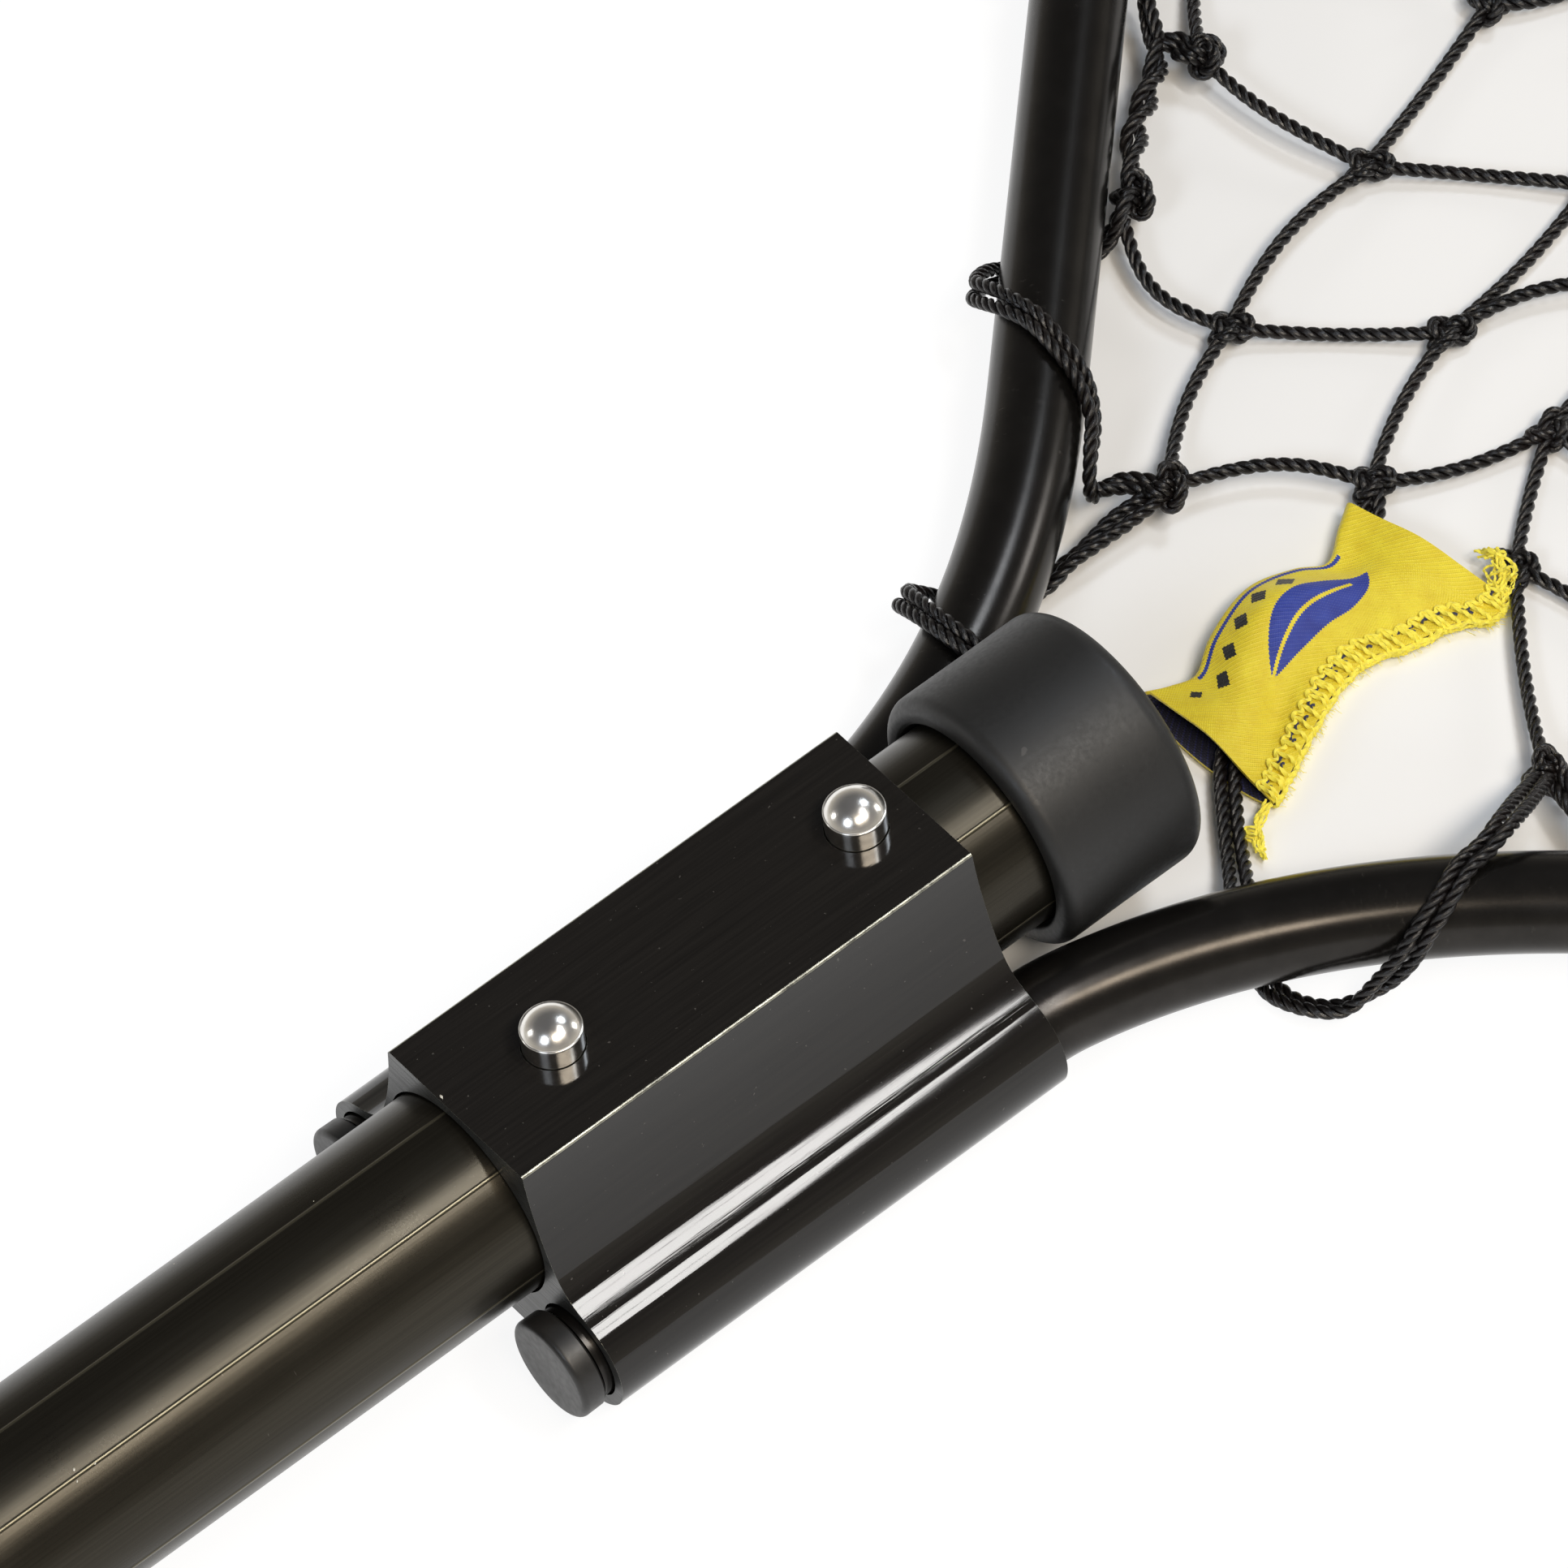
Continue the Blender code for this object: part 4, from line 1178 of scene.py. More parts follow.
for i, j in edges:
    i, j = int(i), int(j)
    p, q = P[i], P[j]
    if {i, j} == {coord[(-1, 0)], coord[(0, 0)]}:
        p, q = np.array([128.6, 71.5, 4.4]), P[coord[(0, 0)]]
    d = q - p
    ln = np.linalg.norm(d[:2])
    u = d / np.linalg.norm(d)
    side = np.array([-u[1], u[0], 0.0])
    key = (min(i, j), max(i, j))
    n = 15
    t = np.linspace(0, 1, n)
    if key in bow_at:
        off = (bow_at[key] - (p[:2] + q[:2]) / 2) @ side[:2]
        skew = 0.0
    else:
        L = max(1.008 * ln, 27.4 + RNG.uniform(-0.6, 1.4)) if ln < 29 else ln * 1.01
        off = min(5.5, ln * math.sqrt(max(0.0, (L / ln - 1)) * 4 / math.pi ** 2)) * RNG.choice([-1, 1])
        skew = RNG.uniform(-0.35, 0.35)
    shape = np.sin(math.pi * t) + skew * np.sin(2 * math.pi * t)
    z = p[2] + (q[2] - p[2]) * t
    dip = np.sin(math.pi * t) ** 1.2
    low = 1.15 + (RNG.uniform(0.0, 1.6) if RNG.random() < 0.6 else RNG.uniform(1.4, 3.2))
    z = z * (1 - dip * 0.75) + low * dip * 0.75
    path = p[None, :] * (1 - t)[:, None] + q[None, :] * t[:, None] + side * (shape * off)[:, None]
    path[:, 2] = np.clip(z, 1.10, None)
    path[:, 2] = np.minimum(path[:, 2], np.maximum(1.10, cap_floor(path[:, 1]) - CORD_R - 0.25))
    path = smooth_path(path, 4)
    near = in_view(p) or in_view(q)
    rope(pick(near), path, CORD_R, LAY, near, phase=RNG.uniform(0, 6.28))

# every knot is a small closed tangle that the bars run into
def knot(bundle, at, axis, near, size=0.6, flat=0.62, cord=0.92, stretch=1.18, turn=0.0):
    """A trefoil of cord, drawn out along axis and pressed flat."""
    ax = np.array([axis[0], axis[1], 0.0])
    ax /= np.linalg.norm(ax)
    ay = np.array([-ax[1], ax[0], 0.0])
    t = np.linspace(0, 2 * math.pi, 61)
    x, y = np.sin(t) + 2 * np.sin(2 * t), np.cos(t) - 2 * np.cos(2 * t)
    c, sn = math.cos(turn), math.sin(turn)
    x, y = x * c - y * sn, x * sn + y * c
    w = (at + size * stretch * x[:, None] * ax + size * y[:, None] * ay
         - np.array([0, 0, 1.25 * flat]) * np.sin(3 * t)[:, None])
    w[:, 2] = np.maximum(w[:, 2], cord + 0.03)
    w[:, 2] = np.minimum(w[:, 2], np.maximum(cord + 0.03, cap_floor(w[:, 1]) - cord - 0.2))
    rope(bundle, w, cord, LAY * 0.9, near, phase=RNG.uniform(0, 6.28))


for i, nb in degree.items():
    if kind[i] == "rim" or i in (coord[(0, -1)], coord[(-1, 0)], coord[(-1, 1)], coord[(2, -3)]):
        continue
    p = P[i]
    dirs = [P[k][:2] - p[:2] for k in nb]
    angs = sorted(math.atan2(d[1], d[0]) for d in dirs)
    if len(angs) >= 2:
        best = min(((angs[(k + 1) % len(angs)] - angs[k]) % (2 * math.pi), angs[k]) for k in range(len(angs)))
        mid = best[1] + best[0] / 2
    else:
        mid = angs[0]
    near = in_view(p)
    flat = 0.62
    if abs(p[1]) < 8:
        flat = 0.34
    knot(pick(near), p, (-math.cos(mid), -math.sin(mid)), near, flat=flat, size=RNG.uniform(0.70, 0.80),
         stretch=RNG.uniform(1.15, 1.4), turn=RNG.choice([0.0, 2.09, 4.19]) + RNG.uniform(-0.3, 0.3))

# doubled cord: from knot to knot inside the hoop, and round it once a period
lace_near, lace_far = Bundle(), [Bundle()]


def hoop_pt(s, deg, r):
    return on_hoop(s, deg, r)


def wrap_after(i, s, nxt, s_next, hang):
    """Over the top, round the outside and under, to the next knot."""
    k = (s_next - s) / 26.6
    return [P[i],
            hoop_pt(s + 2.5 * k, 152, 8.3), hoop_pt(s + 5.0 * k, 112, 7.7), hoop_pt(s + 7.4 * k, 75, 7.55),
            hoop_pt(s + 10.0 * k, 38, 7.9), hoop_pt(s + 13.0 * k, 2, 8.6 + hang),
            hoop_pt(s + 15.8 * k, -38, 8.3 + 0.7 * hang), hoop_pt(s + 18.6 * k, -84, 7.62),
            hoop_pt(s + 21.4 * k, -124, 7.7), hoop_pt(s + 23.8 * k, -156, 8.6), P[nxt]]


rim_paths = []
K0 = np.array([62.5, 7.0, 2.5])
# behind the cap, over and round the left bend, to the first knot
rim_paths.append([K0, (64.0, 14.5, 6.5), hoop_pt(28.5, 168, 8.4), hoop_pt(29.8, 128, 7.9), hoop_pt(30.8, 98, 7.6),
                  hoop_pt(32.6, 68, 7.7), hoop_pt(35.2, 38, 8.6), hoop_pt(38.5, 12, 10.0),
                  hoop_pt(42.0, -14, 9.2), hoop_pt(45.5, -52, 8.0), hoop_pt(48.5, -92, 7.6),
                  hoop_pt(51.0, -126, 7.8), (87.6, 34.9, 3.4), (91.0, 34.8, 3.8), (96.8, 34.9, 4.4),
                  P[coord[(0, -1)]]])
# first knot, along the inside and over the left arm to the second
rim_paths.append([P[coord[(0, -1)]], (101.0, 38.6, 5.0), (96.9, 40.0, 5.4), hoop_pt(64.2, -166, 8.2),
                  hoop_pt(67.0, -178, 7.8), hoop_pt(71.5, 172, 7.7), hoop_pt(75.0, 142, 7.7), hoop_pt(78.6, 112, 7.6), hoop_pt(82.2, 86, 7.6),
                  hoop_pt(85.6, 54, 7.9), hoop_pt(88.6, 28, 8.5), hoop_pt(91.5, 8, 9.3), hoop_pt(96.0, -14, 8.5),
                  hoop_pt(99.6, -44, 7.9), hoop_pt(102.5, -96, 7.6), hoop_pt(104.8, -140, 7.9),
                  hoop_pt(107.6, -168, 8.4), P[coord[(-1, 0)]]])
FORK = np.array([150.3, 90.6, 5.0])
for (i, s, wraps), (k, s2, _) in zip(rim[1:], rim[2:]):
    if k == coord[(-1, 1)]:
        rim_paths.append([P[i], (136.5, 78.9, 5.2), (139.8, 81.9, 5.2), (144.0, 84.9, 5.1), (147.8, 87.6, 5.0), FORK])
        rim_paths.append([P[k], (153.0, 88.9, 4.6), FORK])
    elif i == coord[(-1, 1)]:
        rim_paths.append([FORK, (152.0, 93.6, 5.2), (153.8, 97.6, 6.6)] + wrap_after(i, s, k, s2, 0.8)[2:])
    elif wraps:
        rim_paths.append(wrap_after(i, s, k, s2, RNG.uniform(0.1, 1.6)))
    else:
        mid1, mid2 = s + (s2 - s) * 0.3, s + (s2 - s) * 0.7
        rim_paths.append([P[i], hoop_pt(mid1, -172, 10.2), hoop_pt(mid2, -170, 10.4), P[k]])
# last knot over and round the right bend, and up through the label
e = HOOP_LEN
rim_paths.append([P[coord[(2, -3)]], hoop_pt(e - 63.5, 140, 10.5), hoop_pt(e - 60.5, 112, 8.0),
                  hoop_pt(e - 58.0, 92, 7.6), hoop_pt(e - 55.5, 62, 7.65), hoop_pt(e - 52.5, 34, 7.8),
                  hoop_pt(e - 49.5, 4, 8.2), hoop_pt(e - 45.5, -20, 9.4), hoop_pt(e - 41.0, -32, 10.9),
                  hoop_pt(e - 36.8, -40, 10.2), hoop_pt(e - 33.0, -62, 8.5), hoop_pt(e - 31.5, -100, 7.7),
                  hoop_pt(e - 31.0, -135, 7.9), (70.8, -18.2, 3.4),
                  (74.0, -13.6, 2.3), (78.0, -7.9, 2.1), (84.0, -1.0, 1.75), (95.0, 5.5, 1.7), (109.0, 9.0, 2.0),
                  (117.0, 12.2, 2.0), (121.8, 15.6, 2.2), P[coord[(1, -1)]]])
LACE_LENGTH = 0.0
for path in rim_paths:
    pts = smooth_path(np.array([np.asarray(q, float) for q in path]), 8)
    pts[:, 2] = np.maximum(pts[:, 2], 1.12)
    pts, q = resample(pts, 0.8)
    LACE_LENGTH += q[-1] * 2
    t, u, w = frames_along(pts)
    # the pair lies flat against what it touches: sideways in the cord's plane
    near = in_view(pts[len(pts) // 2], 0.14) or in_view(pts[0], 0.14) or in_view(pts[-1], 0.14)
    flat_side = np.cross(t, np.array([0, 0, 1.0]))
    dist = np.array([np.linalg.norm(LINE - p[:2], axis=1).argmin() for p in pts])
    axis = np.column_stack([LINE[dist], np.full(len(pts), BARREL_Z)])
    rad = pts - axis
    rad /= np.linalg.norm(rad, axis=1)[:, None]
    side = np.cross(t, rad)
    ns = np.linalg.norm(side, axis=1)
    side = side / np.maximum(ns, 1e-6)[:, None]
    off_tube = np.clip((np.linalg.norm(pts - axis, axis=1) - 9.0) / 4.0, 0, 1)[:, None]
    fs = flat_side / np.maximum(np.linalg.norm(flat_side, axis=1), 1e-6)[:, None]
    fs *= np.sign((fs * side).sum(1))[:, None]
    side = side * (1 - off_tube) + fs * off_tube
    side /= np.linalg.norm(side, axis=1)[:, None]
    if np.linalg.norm(pts[0] - P[coord[(-1, 0)]]) < 1 and np.linalg.norm(pts[-1] - FORK) < 1:
        other = np.cross(t, side)
        tw = (q * 2 * math.pi / 13.0)[:, None]
        side = side * np.cos(tw) + other * np.sin(tw)
    gap = 0.97 + 0.10 * np.sin(q * 0.21 + RNG.uniform(0, 6)) - 0.25 * np.exp(-q / 4) - 0.25 * np.exp(-(q[-1] - q) / 4)
    for sg in (1, -1):
        line = pts + side * (gap * sg)[:, None]
        line[:, 2] = np.maximum(line[:, 2], 1.10)
        if near:
            bd = lace_near
        else:
            if lace_far[-1].tris() > 150000:
                lace_far.append(Bundle())
            bd = lace_far[-1]
        rope(bd, line, CORD_R, LAY, near, phase=RNG.uniform(0, 6.28),
             taper=([0, 0.02, 0.98, 1], [0.8, 1, 1, 0.8]))
# rim knots are fuller: the doubled cord goes through them
for i, s, wraps in rim:
    p = P[i]
    near = in_view(p, 0.05)
    tx, ty = np.interp(s, ARC, TAN[:, 0]), np.interp(s, ARC, TAN[:, 1])
    ax = (-ty, tx) if i != coord[(0, -1)] else (-1.0, -0.55)
    if i == coord[(-1, 0)]:
        ax = (0.55, 0.85)
    bd = lace_near if near else lace_far[-1]
    knot(bd, p, ax, near, size=0.84, flat=0.85, cord=0.95, stretch=1.25, turn=RNG.uniform(0, 6.28))
    if near:
        knot(bd, p + np.array([0.3, 0.2, 0.5]), (ax[0] + 0.6, ax[1] - 0.5), near, size=0.60, flat=1.0, cord=0.85)

net_parts = [near_b.build("net_mesh_throat", NYLON_M)]
net_parts += [b.build(f"net_mesh_{i + 1}", NYLON_M) for i, b in enumerate(far_b)]
for ob in net_parts:
    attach(ob, "frame")
    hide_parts("net_bag")
lace_parts = [lace_near.build("net_lacing_throat", NYLON_M)]
lace_parts += [b.build(f"net_lacing_{i + 1}", NYLON_M) for i, b in enumerate(lace_far)]
for ob in lace_parts:
    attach(ob, "frame")
    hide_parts("net_lacing_cord")
print("NET", len(P), "knots", len(edges), "bars; lacing", round(LACE_LENGTH), "mm; tris",
      [len(o.data.polygons) for o in net_parts + lace_parts])

# ------------------------------------------------------------------ woven label
SEAM = np.array([(83.3, -10.1), (87.9, -7.9), (94.4, -4.6), (101.4, -1.7), (106.9, -1.1), (112.2, -3.0),
                 (118.0, -4.2), (122.2, -6.8), (125.6, -6.0)])
FOLD = np.array([(82.2, 13.2), (84.9, 11.7), (88.4, 10.7), (93.3, 13.8), (101.1, 16.3), (107.7, 14.9),
                 (111.8, 12.9), (116.6, 16.2), (119.9, 18.4)])
SEAM_Z, FOLD_Z, CLOTH = 1.9, 2.9, 0.42


def along(poly, n):
    """The polyline as n evenly spaced smooth points."""
    q = smooth_path(np.column_stack([poly, np.zeros(len(poly))]), 10)
    s = np.concatenate([[0], np.cumsum(np.linalg.norm(np.diff(q, axis=0), axis=1))])
    k = np.linspace(0, s[-1], n)
    return np.stack([np.interp(k, s, q[:, 0]), np.interp(k, s, q[:, 1])], 1)


NU, NV = 126, 70
seam = along(SEAM, NU) + (SEAM_Z - 1.3) * np.array([-0.49, -0.66])
fold = along(FOLD, NU)
U = np.linspace(0, 1, NU)[:, None]


def g(x, c, w):
    return np.exp(-((x - c) / w) ** 2)


def label_top(u, v):
    """Height of the upper layer: arched over the cord, with a crease by the seam."""
    z = SEAM_Z + (FOLD_Z + 0.75 - SEAM_Z) * v ** 0.8
    z = z + 3.3 * g(v, 0.66, 0.27) * g(u, 0.46, 0.27)
    z = z + 2.0 * g(v, 0.50, 0.30) * g(u, 0.00, 0.22)
    z = z + 1.7 * g(v, 0.52, 0.30) * g(u, 1.00, 0.24)
    z = z - 1.15 * g(v, 0.17 + 0.5 * u, 0.13) * g(u, 0.23, 0.17)
    z = z + 0.45 * g(v, 0.30 + 0.3 * u, 0.10) * g(u, 0.42, 0.16)
    z = z - 0.7 * g(v, 0.80, 0.16) * g(u, 0.80, 0.13)
    z = z + 0.35 * g(v, 0.36, 0.13) * g(u, 0.80, 0.16)
    return z


def end_curve(v, top):
    """How far the open ends depart from a straight cut, in millimetres along the label."""
    return 0.0


verts, cloth = [], []
for layer in (0, 1, 2):
    if layer == 0:
        v = np.linspace(0, 0.955, 40)
    elif layer == 1:
        v = None
    else:
        v = np.linspace(0.955, 0, 24)
    if layer == 0:
        V = np.broadcast_to(v[None, :], (NU, len(v)))
        UU = np.broadcast_to(U, V.shape)
        xy = seam[:, None, :] * (1 - V[..., None]) + fold[:, None, :] * V[..., None]
        z = label_top(UU, V)
        top = np.concatenate([xy, z[..., None]], -1)
    elif layer == 2:
        V = np.broadcast_to(v[None, :], (NU, len(v)))
        UU = np.broadcast_to(U, V.shape)
        # the lower layer reaches a little further at the near end
        ext = (1 - UU) ** 3 * 1.9
        d = (seam[1] - seam[0]) / np.linalg.norm(seam[1] - seam[0])
        low_seam = seam + (SEAM_Z - 0.6) * np.array([0.49, 0.66]) * 0.25
        xy = low_seam[:, None, :] * (1 - V[..., None]) + fold[:, None, :] * V[..., None]
        away = np.array([-0.92, -0.15])
        xy = xy + ext[..., None] * away * np.clip(np.sin(math.pi * np.clip(V, 0, 1)), 0, 1)[..., None] ** 0.7
        z = 0.34 + 0.25 * g(V, 0.4, 0.3) + 0.22 * g(V, 0, 0.1)
        bottom = np.concatenate([xy, z[..., None]], -1)
tip = fold + 0.0
zt, zb = top[:, -1, 2], bottom[:, 0, 2]
mid = (zt + zb) / 2
outw = fold - seam
outw /= np.linalg.norm(outw, axis=1)[:, None]
arc_pts = []
for a in np.linspace(math.pi / 2, -math.pi / 2, 9)[1:-1]:
    base = (top[:, -1, :2] + bottom[:, 0, :2]) / 2
    r = (zt - zb) / 2
    reach = np.minimum(np.linalg.norm(fold - base, axis=1), r * 1.1)
    p = base + outw * (math.cos(a) * reach)[:, None]
    arc_pts.append(np.concatenate([p, (mid + np.sin(a) * r)[:, None]], 1))
arc_pts = np.stack(arc_pts, 1)
sheet = np.concatenate([top, arc_pts, bottom], 1)
n_v = sheet.shape[1]
step = np.linalg.norm(np.diff(sheet, axis=1), axis=2)
yy = np.concatenate([np.zeros((NU, 1)), np.cumsum(step, 1)], 1)
# one cloth: the same width everywhere along it
yy *= 48.0 / yy[:, -1:]
xx = np.broadcast_to(U * 41.0, yy.shape)
cl = np.stack([xx, yy, np.zeros_like(yy)], -1).reshape(-1, 3)
sheet = sheet + np.stack([np.zeros_like(yy), np.zeros_like(yy), 0.10 * np.sin(xx * 0.9 + yy * 0.31)
                          * np.sin(yy * 0.42 + 1.0) * (np.arange(n_v)[None, :] < 40)], -1)
label = new_object("label_cloth", sheet.reshape(-1, 3), [grid_faces(NU, n_v, closed_m=False)],
                   [LABEL_M, LABEL_BACK_M], attrs=[("cloth", "FLOAT_VECTOR", cl)])
me = label.data
nz = sum(p.normal.z * p.area for p in me.polygons if p.center.z > 0.0022)
if nz < 0:
    me.flip_normals()
sol = label.modifiers.new("thickness", "SOLIDIFY")
sol.thickness = CLOTH / 1000.0
sol.offset = -1.0
sol.material_offset = 1
sol.material_offset_rim = 0
sol.use_even_offset = False
apply_modifiers(label)
label.data.shade_smooth()
label.data.set_sharp_from_angle(angle=math.radians(50))

# overlock stitching along the seam
seam3 = np.concatenate([seam, np.full((NU, 1), SEAM_Z)], 1)
edge_len = np.concatenate([[0], np.cumsum(np.linalg.norm(np.diff(seam, axis=0), axis=1))])
SEAM_LEN = edge_len[-1]


def seam_at(s, inward, z):
    """Point s millimetres along the seam, inward from it over the cloth, at height z."""
    u = s / SEAM_LEN
    p = np.array([np.interp(s, edge_len, seam[:, 0]), np.interp(s, edge_len, seam[:, 1])])
    f = np.array([np.interp(s, edge_len, fold[:, 0]), np.interp(s, edge_len, fold[:, 1])])
    w = np.linalg.norm(f - p)
    d = (f - p) / w
    q = p + d * inward
    top_z = float(label_top(np.array(np.clip(u, 0, 1)), np.array(max(0.0, inward / w))))
    return np.array([q[0], q[1], z + (top_z - SEAM_Z if inward > 0 else 0.0)])


yel_b, nav_b = Bundle(), Bundle()


def thread(bundle, pts, r, per=6, m=6, wob=0.0):
    path = smooth_path(np.asarray(pts, float), per)
    path[:, 2] = np.maximum(path[:, 2], r + 0.02)
    p, s = resample(path, 0.22)
    if wob:
        p = p + RNG.normal(0, wob, p.shape)
    t, u, w = frames_along(p)
    a = 2 * math.pi * np.arange(m) / m
    A = np.broadcast_to(a[None, :] + 1.6 * s[:, None], (len(s), m))
    rad = r * (1 + 0.16 * np.cos(3 * a))[None, :] * np.ones(len(s))[:, None]
    ring = p[:, None, :] + rad[..., None] * (np.cos(A)[..., None] * u[:, None, :] + np.sin(A)[..., None] * w[:, None, :])
    fib = np.stack([np.cos(A) * 1.2, np.sin(A) * 1.2, np.broadcast_to(s[:, None] * 1.4 + r * 40, A.shape)], -1)
    bundle.tube(ring, m, fib)


PITCH = 1.92
n_st = int(SEAM_LEN / PITCH)
TZ = SEAM_Z + 0.05
inner, inner2, outer, under = [], [], [], []
for k in range(n_st + 1):
    s = 0.3 + k * (SEAM_LEN - 0.6) / n_st
    j = RNG.normal(0, 0.12, 6)
    h = PITCH
    # scallops of the inner looper thread
    inner += [seam_at(s - h * 0.42 + j[0], 2.25 + j[1], TZ + 0.22), seam_at(s - h * 0.1, 3.0 + j[1], TZ + 0.34),
              seam_at(s + h * 0.25, 2.75 + j[2], TZ + 0.34)]
    # rungs: two threads from the inner rail to the edge and under it
    for q, dr in ((0.0, 0.0), (0.50 + j[3], 0.06)):
        if q and RNG.random() < 0.35:
            continue
        thread(yel_b, [seam_at(s + q - 0.25, 2.7 + j[4], TZ + 0.30), seam_at(s + q, 1.7, TZ + 0.40 + dr),
                       seam_at(s + q + 0.25 + j[5], 0.7, TZ + 0.36 + dr), seam_at(s + q + 0.3, -0.10, TZ - 0.15),
                       seam_at(s + q + 0.2, -0.32, TZ - 0.8), seam_at(s + q, 0.3, 0.42)],
               0.26 + RNG.uniform(-0.02, 0.03), wob=0.012)
    outer.append(seam_at(s + j[0], -0.22 + 0.16 * (-1) ** k + j[2] * 0.5, TZ - 0.35 + j[1] * 0.6))
    outer.append(seam_at(s + h * 0.5, -0.38 + j[3] * 0.4, TZ - 0.15))
    under.append(seam_at(s, -0.12 + 0.15 * (-1) ** k, 0.7))
    if RNG.random() < 0.72:
        a0 = RNG.uniform(-0.1, 0.25)
        thread(nav_b, [seam_at(s + 0.55 + a0, 1.95 + j[1], TZ + 0.12), seam_at(s + 1.0 + a0, 2.05 + j[2], TZ + 0.22),
                       seam_at(s + 1.5 + a0, 2.0, TZ + 0.12)], 0.20)
    if RNG.random() < 0.4:
        thread(nav_b, [seam_at(s + 0.5, 1.3, TZ + 0.05), seam_at(s + 0.9, 1.5, TZ + 0.14),
                       seam_at(s + 1.2, 1.2, TZ + 0.05)], 0.17)
thread(yel_b, inner, 0.27, per=4, wob=0.012)
thread(yel_b, [p + (0, 0, -0.14) + RNG.normal(0, 0.10, 3) for p in inner], 0.19, per=4, wob=0.015)
thread(yel_b, outer, 0.30, per=4, wob=0.02)
thread(yel_b, [p + RNG.normal(0, 0.12, 3) + (0, 0, -0.3) for p in outer], 0.22, per=4, wob=0.02)
thread(yel_b, under, 0.24, per=4, wob=0.02)
# fuzz on the seam's edge
for _ in range(260):
    s = RNG.uniform(0.5, SEAM_LEN - 0.5)
    a = seam_at(s, -0.25, RNG.uniform(0.5, SEAM_Z))
    d = np.array([0, 0, 0.0])
    out = seam_at(s, -1.0, 0)[:2] - seam_at(s, 0.0, 0)[:2]
    d[:2] = out * RNG.uniform(0.3, 1.1) + RNG.normal(0, 0.35, 2)
    d[2] = RNG.normal(0, 0.3)
    thread(yel_b, [a, a + d * 0.5 + RNG.normal(0, 0.1, 3), a + d], 0.03, per=3, m=3)
# frayed threads at both ends of the seam
for _ in range(13):
    a = np.array([124.6, -5.4, 2.2]) + RNG.normal(0, (0.7, 0.7, 0.3))
    b = np.array([126.9, -3.6, 2.6]) + RNG.normal(0, (0.6, 0.9, 0.5))
    c = np.array([128.0, -0.9, 2.9]) + RNG.normal(0, (0.6, 0.8, 0.5))
    d = np.array([127.6, 0.7, 2.6]) + RNG.normal(0, (0.9, 0.9, 0.6))
    thread(yel_b, [a, b, c, d][: RNG.choice([3, 4, 4])], RNG.uniform(0.14, 0.23), wob=0.04)
for _ in range(10):
    a = np.array([126.3, -5.2, 2.0]) + RNG.normal(0, (0.5, 0.5, 0.3))
    thread(yel_b, [a, a + RNG.normal(0, 0.9, 3) + (0.3, 0.4, 0.4), a + RNG.normal(0, 0.9, 3) + (0.6, 0.8, 0.2)],
           0.18, wob=0.04)
for _ in range(9):
    a = np.array([82.6, -9.8, 1.4]) + RNG.normal(0, (0.4, 0.4, 0.3))
    b = np.array([79.9, -11.3, 1.6]) + RNG.normal(0, (0.3, 0.35, 0.3))
    c = np.array([78.3, -13.2, 1.5]) + RNG.normal(0, (0.35, 0.4, 0.3))
    d = np.array([77.2, -15.2, 1.2]) + RNG.normal(0, (0.35, 0.5, 0.3))
    thread(yel_b, [a, b, c, d][: RNG.choice([3, 4, 4])], RNG.uniform(0.15, 0.22), wob=0.035)
for _ in range(4):
    a = np.array([78.6, -12.2, 1.6]) + RNG.normal(0, 0.2, 3)
    e2 = np.array([-0.6, 1.0, 0.0]) * RNG.uniform(0.7, 1.5)
    thread(yel_b, [a, a + e2 + (-0.5, 0, 0.2), a + e2 * 0.8 + (-1.0, -0.6, 0.2), a + (-0.7, -0.9, 0)], 0.17, wob=0.02)
stitches = yel_b.build("label_overlock_thread", YTHREAD_M)
needle = nav_b.build("label_needle_thread", NTHREAD_M)
for ob in (label, stitches, needle):
    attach(ob, "frame")
    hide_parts("net_label")
    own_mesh(ob)

# ------------------------------------------------------------------ small marks
def mark(bundle, at, d, length, r, lift_=0.0):
    """A short raised nick or burr."""
    a = np.asarray(at, float)
    d = np.asarray(d, float) / np.linalg.norm(d)
    pts = [a - d * length / 2, a + RNG.normal(0, r * 0.25, 3), a + d * length / 2]
    path = smooth_path(np.array(pts), 5)
    p, s = resample(path, max(0.08, length / 8))
    t, u, w = frames_along(p)
    m = 6
    ang = 2 * math.pi * np.arange(m) / m
    k = np.sqrt(np.clip(1 - (2 * s / s[-1] - 1) ** 2, 0.05, 1)) * (1 + RNG.normal(0, 0.12, len(s)))
    ring = p[:, None, :] + (r * k)[:, None, None] * (np.cos(ang)[None, :, None] * u[:, None, :]
                                                     + np.sin(ang)[None, :, None] * w[:, None, :])
    bundle.tube(ring, m)


def on_handle(x, deg, r):
    """Point on the handle, deg from the top towards +Y."""
    a = math.radians(deg)
    return np.array([x, r * math.sin(a), HANDLE_Z + r * math.cos(a)])


hb = Bundle()
for x, y, rr, ln in ((-99.9, -7.05, 0.16, 0.5), (-100.5, -8.2, 0.12, 0.35), (-97.4, -7.8, 0.13, 0.3),
                     (-72.0, 9.3, 0.07, 0.2), (-55.0, 3.0, 0.06, 0.2), (-118.0, 4.5, 0.07, 0.25)):
    z = HANDLE_Z + math.sqrt(HANDLE_R ** 2 - y ** 2) + 0.0
    mark(hb, (x, y, z), (0.6, 0.8, 0.0), ln, rr)
ob = hb.build("handle_marks", SPECK_M)
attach(ob, "handle")
yb = Bundle()
mark(yb, (-34.9, 2.9, 37.28), (0.25, 1.0, 0.1), 1.5, 0.22)
mark(yb, (-34.95, 3.9, 37.25), (0.1, 1.0, 0.0), 0.8, 0.15)
ob = yb.build("yoke_marks", SPECK_M)
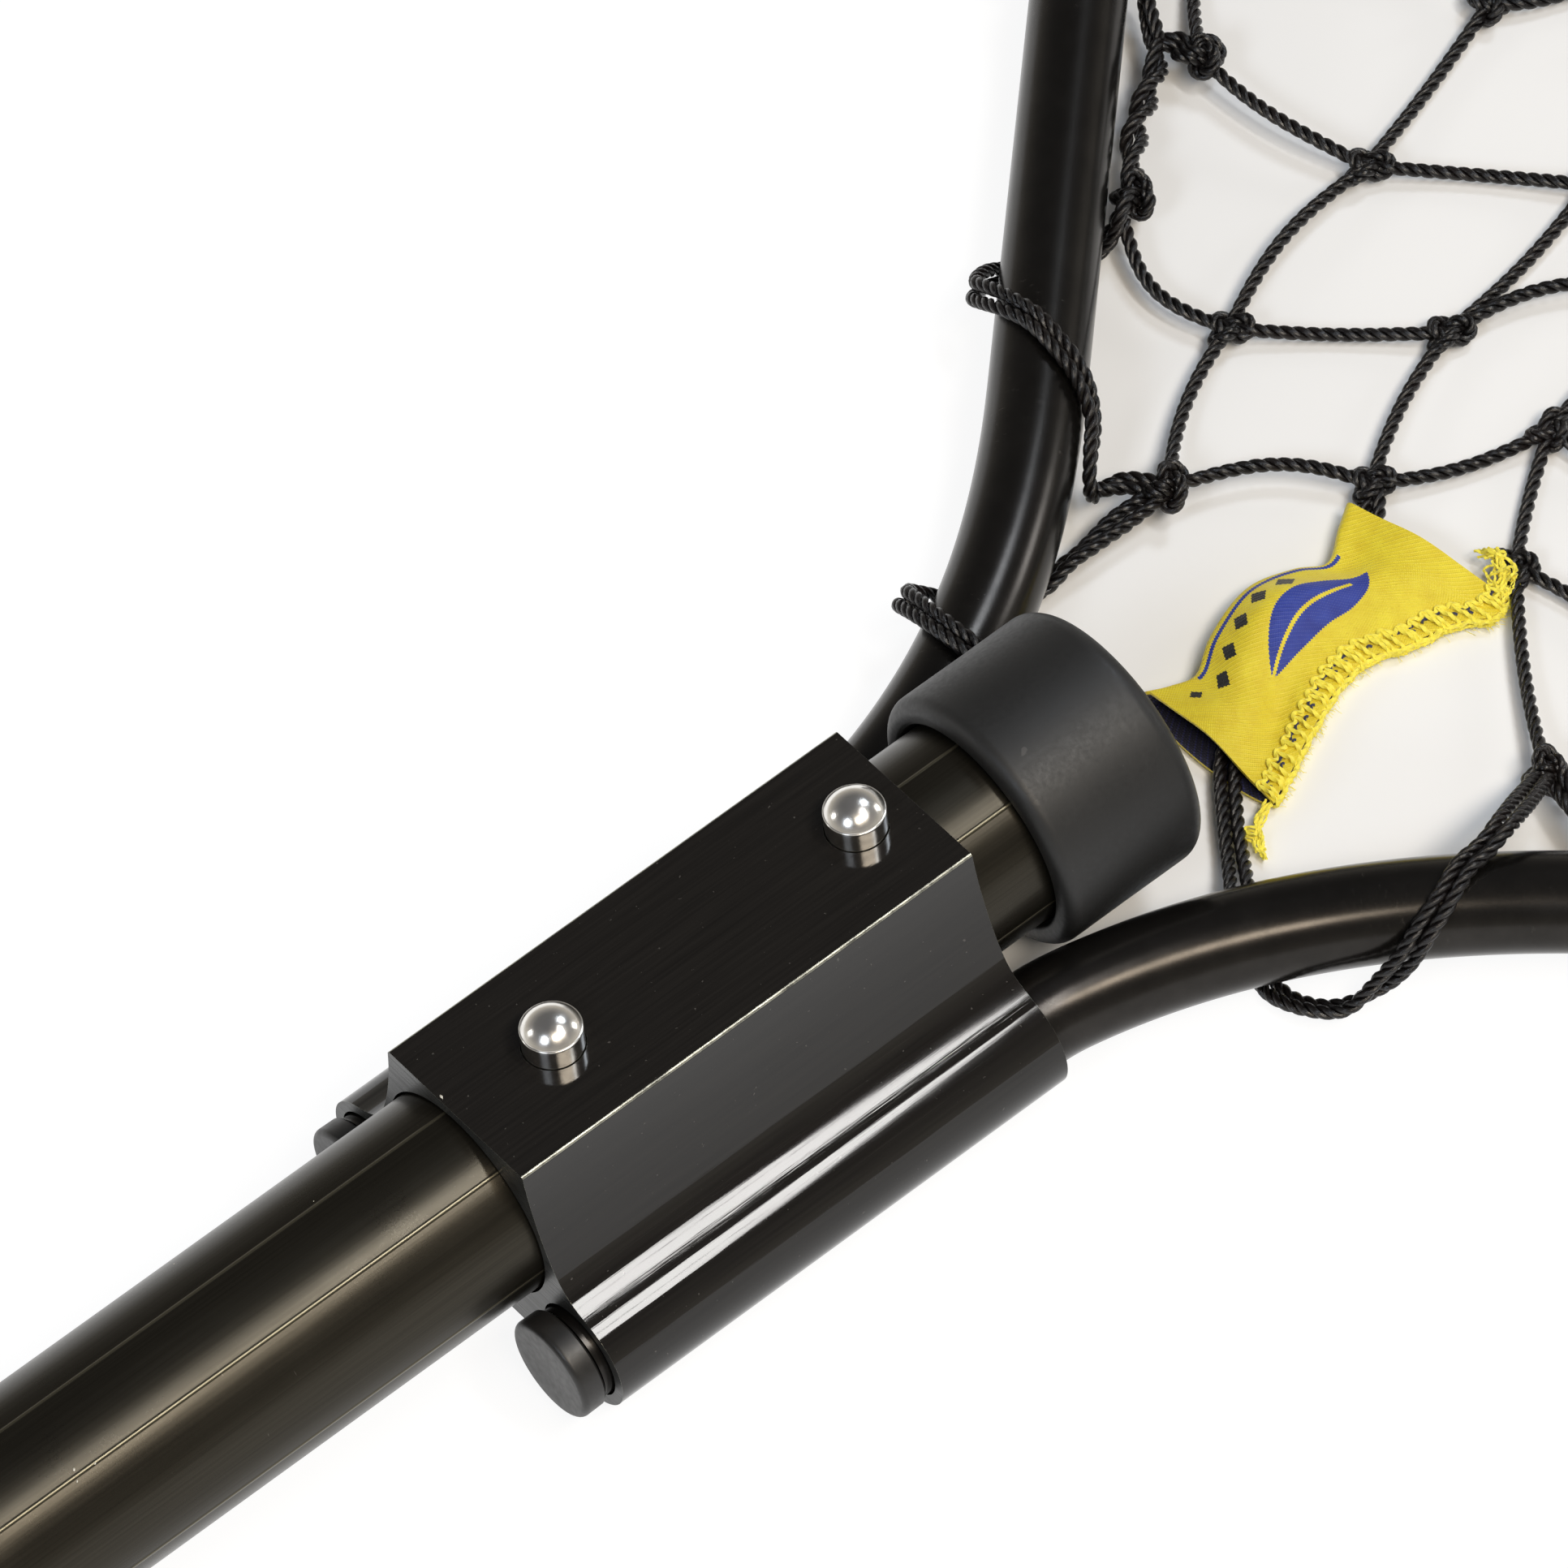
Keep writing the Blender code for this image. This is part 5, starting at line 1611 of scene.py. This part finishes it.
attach(ob, "frame")

# ------------------------------------------------------------------ stage

def flat_material(name, col, rough, glow=0.0):
    m = bpy.data.materials.new(name)
    m.use_nodes = True
    b = m.node_tree.nodes["Principled BSDF"]
    b.inputs["Base Color"].default_value = (*col, 1)
    b.inputs["Roughness"].default_value = rough
    b.inputs["Specular IOR Level"].default_value = 0.1
    if glow:
        b.inputs["Emission Color"].default_value = (1, 1, 1, 1)
        b.inputs["Emission Strength"].default_value = glow
    return m


def plane(name, poly, z, mat):
    n = len(poly)
    v = np.column_stack([poly, np.full(n, z)])
    me = bpy.data.meshes.new(name)
    me.from_pydata([tuple(W(p)) for p in v], [], [tuple(range(n))])
    me.materials.append(mat)
    ob = bpy.data.objects.new(name, me)
    bpy.context.scene.collection.objects.link(ob)
    return ob


big = np.array([(-4000, -4000), (4000, -4000), (4000, 4000), (-4000, 4000)], float)
PAPER_M = flat_material("white_surface", (0.925, 0.93, 0.935), 0.8)
GLOW_M = flat_material("white_backdrop", (0.15, 0.15, 0.15), 0.8, 0.90)
edge_loop = np.vstack([[(40.0, BARREL_Y)], LINE, [(40.0, -BARREL_Y)]])
floor = plane("floor_white", edge_loop[::-1], -0.02, PAPER_M)
outside = plane("floor_glow", big, -0.06, GLOW_M)

world = bpy.data.worlds.new("studio")
bpy.context.scene.world = world
world.use_nodes = True
wn, wl = world.node_tree.nodes, world.node_tree.links
tc = wn.new("ShaderNodeTexCoord")
sx = wn.new("ShaderNodeSeparateXYZ")
wl.new(tc.outputs["Generated"], sx.inputs[0])
rp = wn.new("ShaderNodeValToRGB")
rp.color_ramp.elements[0].position = 0.0
rp.color_ramp.elements[0].color = (0.55, 0.52, 0.48, 1)
rp.color_ramp.elements[1].position = 1.0
rp.color_ramp.elements[1].color = (0.10, 0.10, 0.105, 1)
for pos, col in ((0.50, (0.50, 0.47, 0.42)), (0.60, (0.36, 0.34, 0.30)), (0.70, (0.22, 0.21, 0.20)),
                 (0.82, (0.115, 0.115, 0.115))):
    el = rp.color_ramp.elements.new(pos)
    el.color = (*col, 1)
ma = wn.new("ShaderNodeMath")
ma.operation = "MULTIPLY_ADD"
ma.inputs[1].default_value = 0.5
ma.inputs[2].default_value = 0.5
wl.new(sx.outputs[2], ma.inputs[0])
wl.new(ma.outputs[0], rp.inputs[0])
wl.new(rp.outputs[0], wn["Background"].inputs[0])
wn["Background"].inputs[1].default_value = 1.0


def lamp(name, d, size, radiance, col, dist=1500.0, target=(0.0, 0.0, 25.0)):
    """A rectangular lamp seen from the target along d; size is its angular
    width and height as lengths at unit distance."""
    t = np.asarray(target, float)
    d = np.asarray(d, float) / np.linalg.norm(d)
    at = t + d * dist
    light = bpy.data.lights.new(name, "AREA")
    light.shape = "RECTANGLE"
    light.size = size[0] * dist / 1000.0
    light.size_y = size[1] * dist / 1000.0
    light.energy = radiance * math.pi * light.size * light.size_y
    light.color = col
    ob = bpy.data.objects.new(name, light)
    ob.location = W(at)
    ob.rotation_euler = Vector(d.tolist()).to_track_quat("Z", "X").to_euler()
    bpy.context.scene.collection.objects.link(ob)
    return ob


def strip(name, x0, x1, y0, y1, radiance, col, height=1300.0):
    """A flat lamp overhead: extents are slopes x/z and y/z seen from the object."""
    light = bpy.data.lights.new(name, "AREA")
    light.shape = "RECTANGLE"
    light.size = (x1 - x0) * height / 1000.0
    light.size_y = (y1 - y0) * height / 1000.0
    light.energy = radiance * math.pi * light.size * light.size_y
    light.color = col
    ob = bpy.data.objects.new(name, light)
    ob.location = W(((x0 + x1) / 2 * height, (y0 + y1) / 2 * height, height + 25.0))
    bpy.context.scene.collection.objects.link(ob)
    return ob


strip("main_near", 0.285, 0.405, -0.80, -0.546, 24.0, (1.0, 0.985, 0.96))
strip("main_far", 0.285, 0.405, -0.536, -0.29, 24.0, (1.0, 0.985, 0.96))
strip("warm", -0.35, 0.28, -0.90, -0.62, 17.0, (1.0, 0.88, 0.72))
lamp("cool_left", (-0.69, -0.25, 0.70), (0.28, 0.28), 8.0, (0.80, 0.88, 1.0))
lamp("small_back", (-0.68, 0.61, 0.41), (0.14, 0.14), 9.0, (1.0, 1.0, 1.0))
lamp("small_front", (0.92, -0.26, 0.28), (0.16, 0.16), 9.0, (1.0, 1.0, 1.0))
lamp("cool_front", (0.62, 0.05, 0.78), (0.20, 0.20), 13.0, (0.82, 0.90, 1.0))
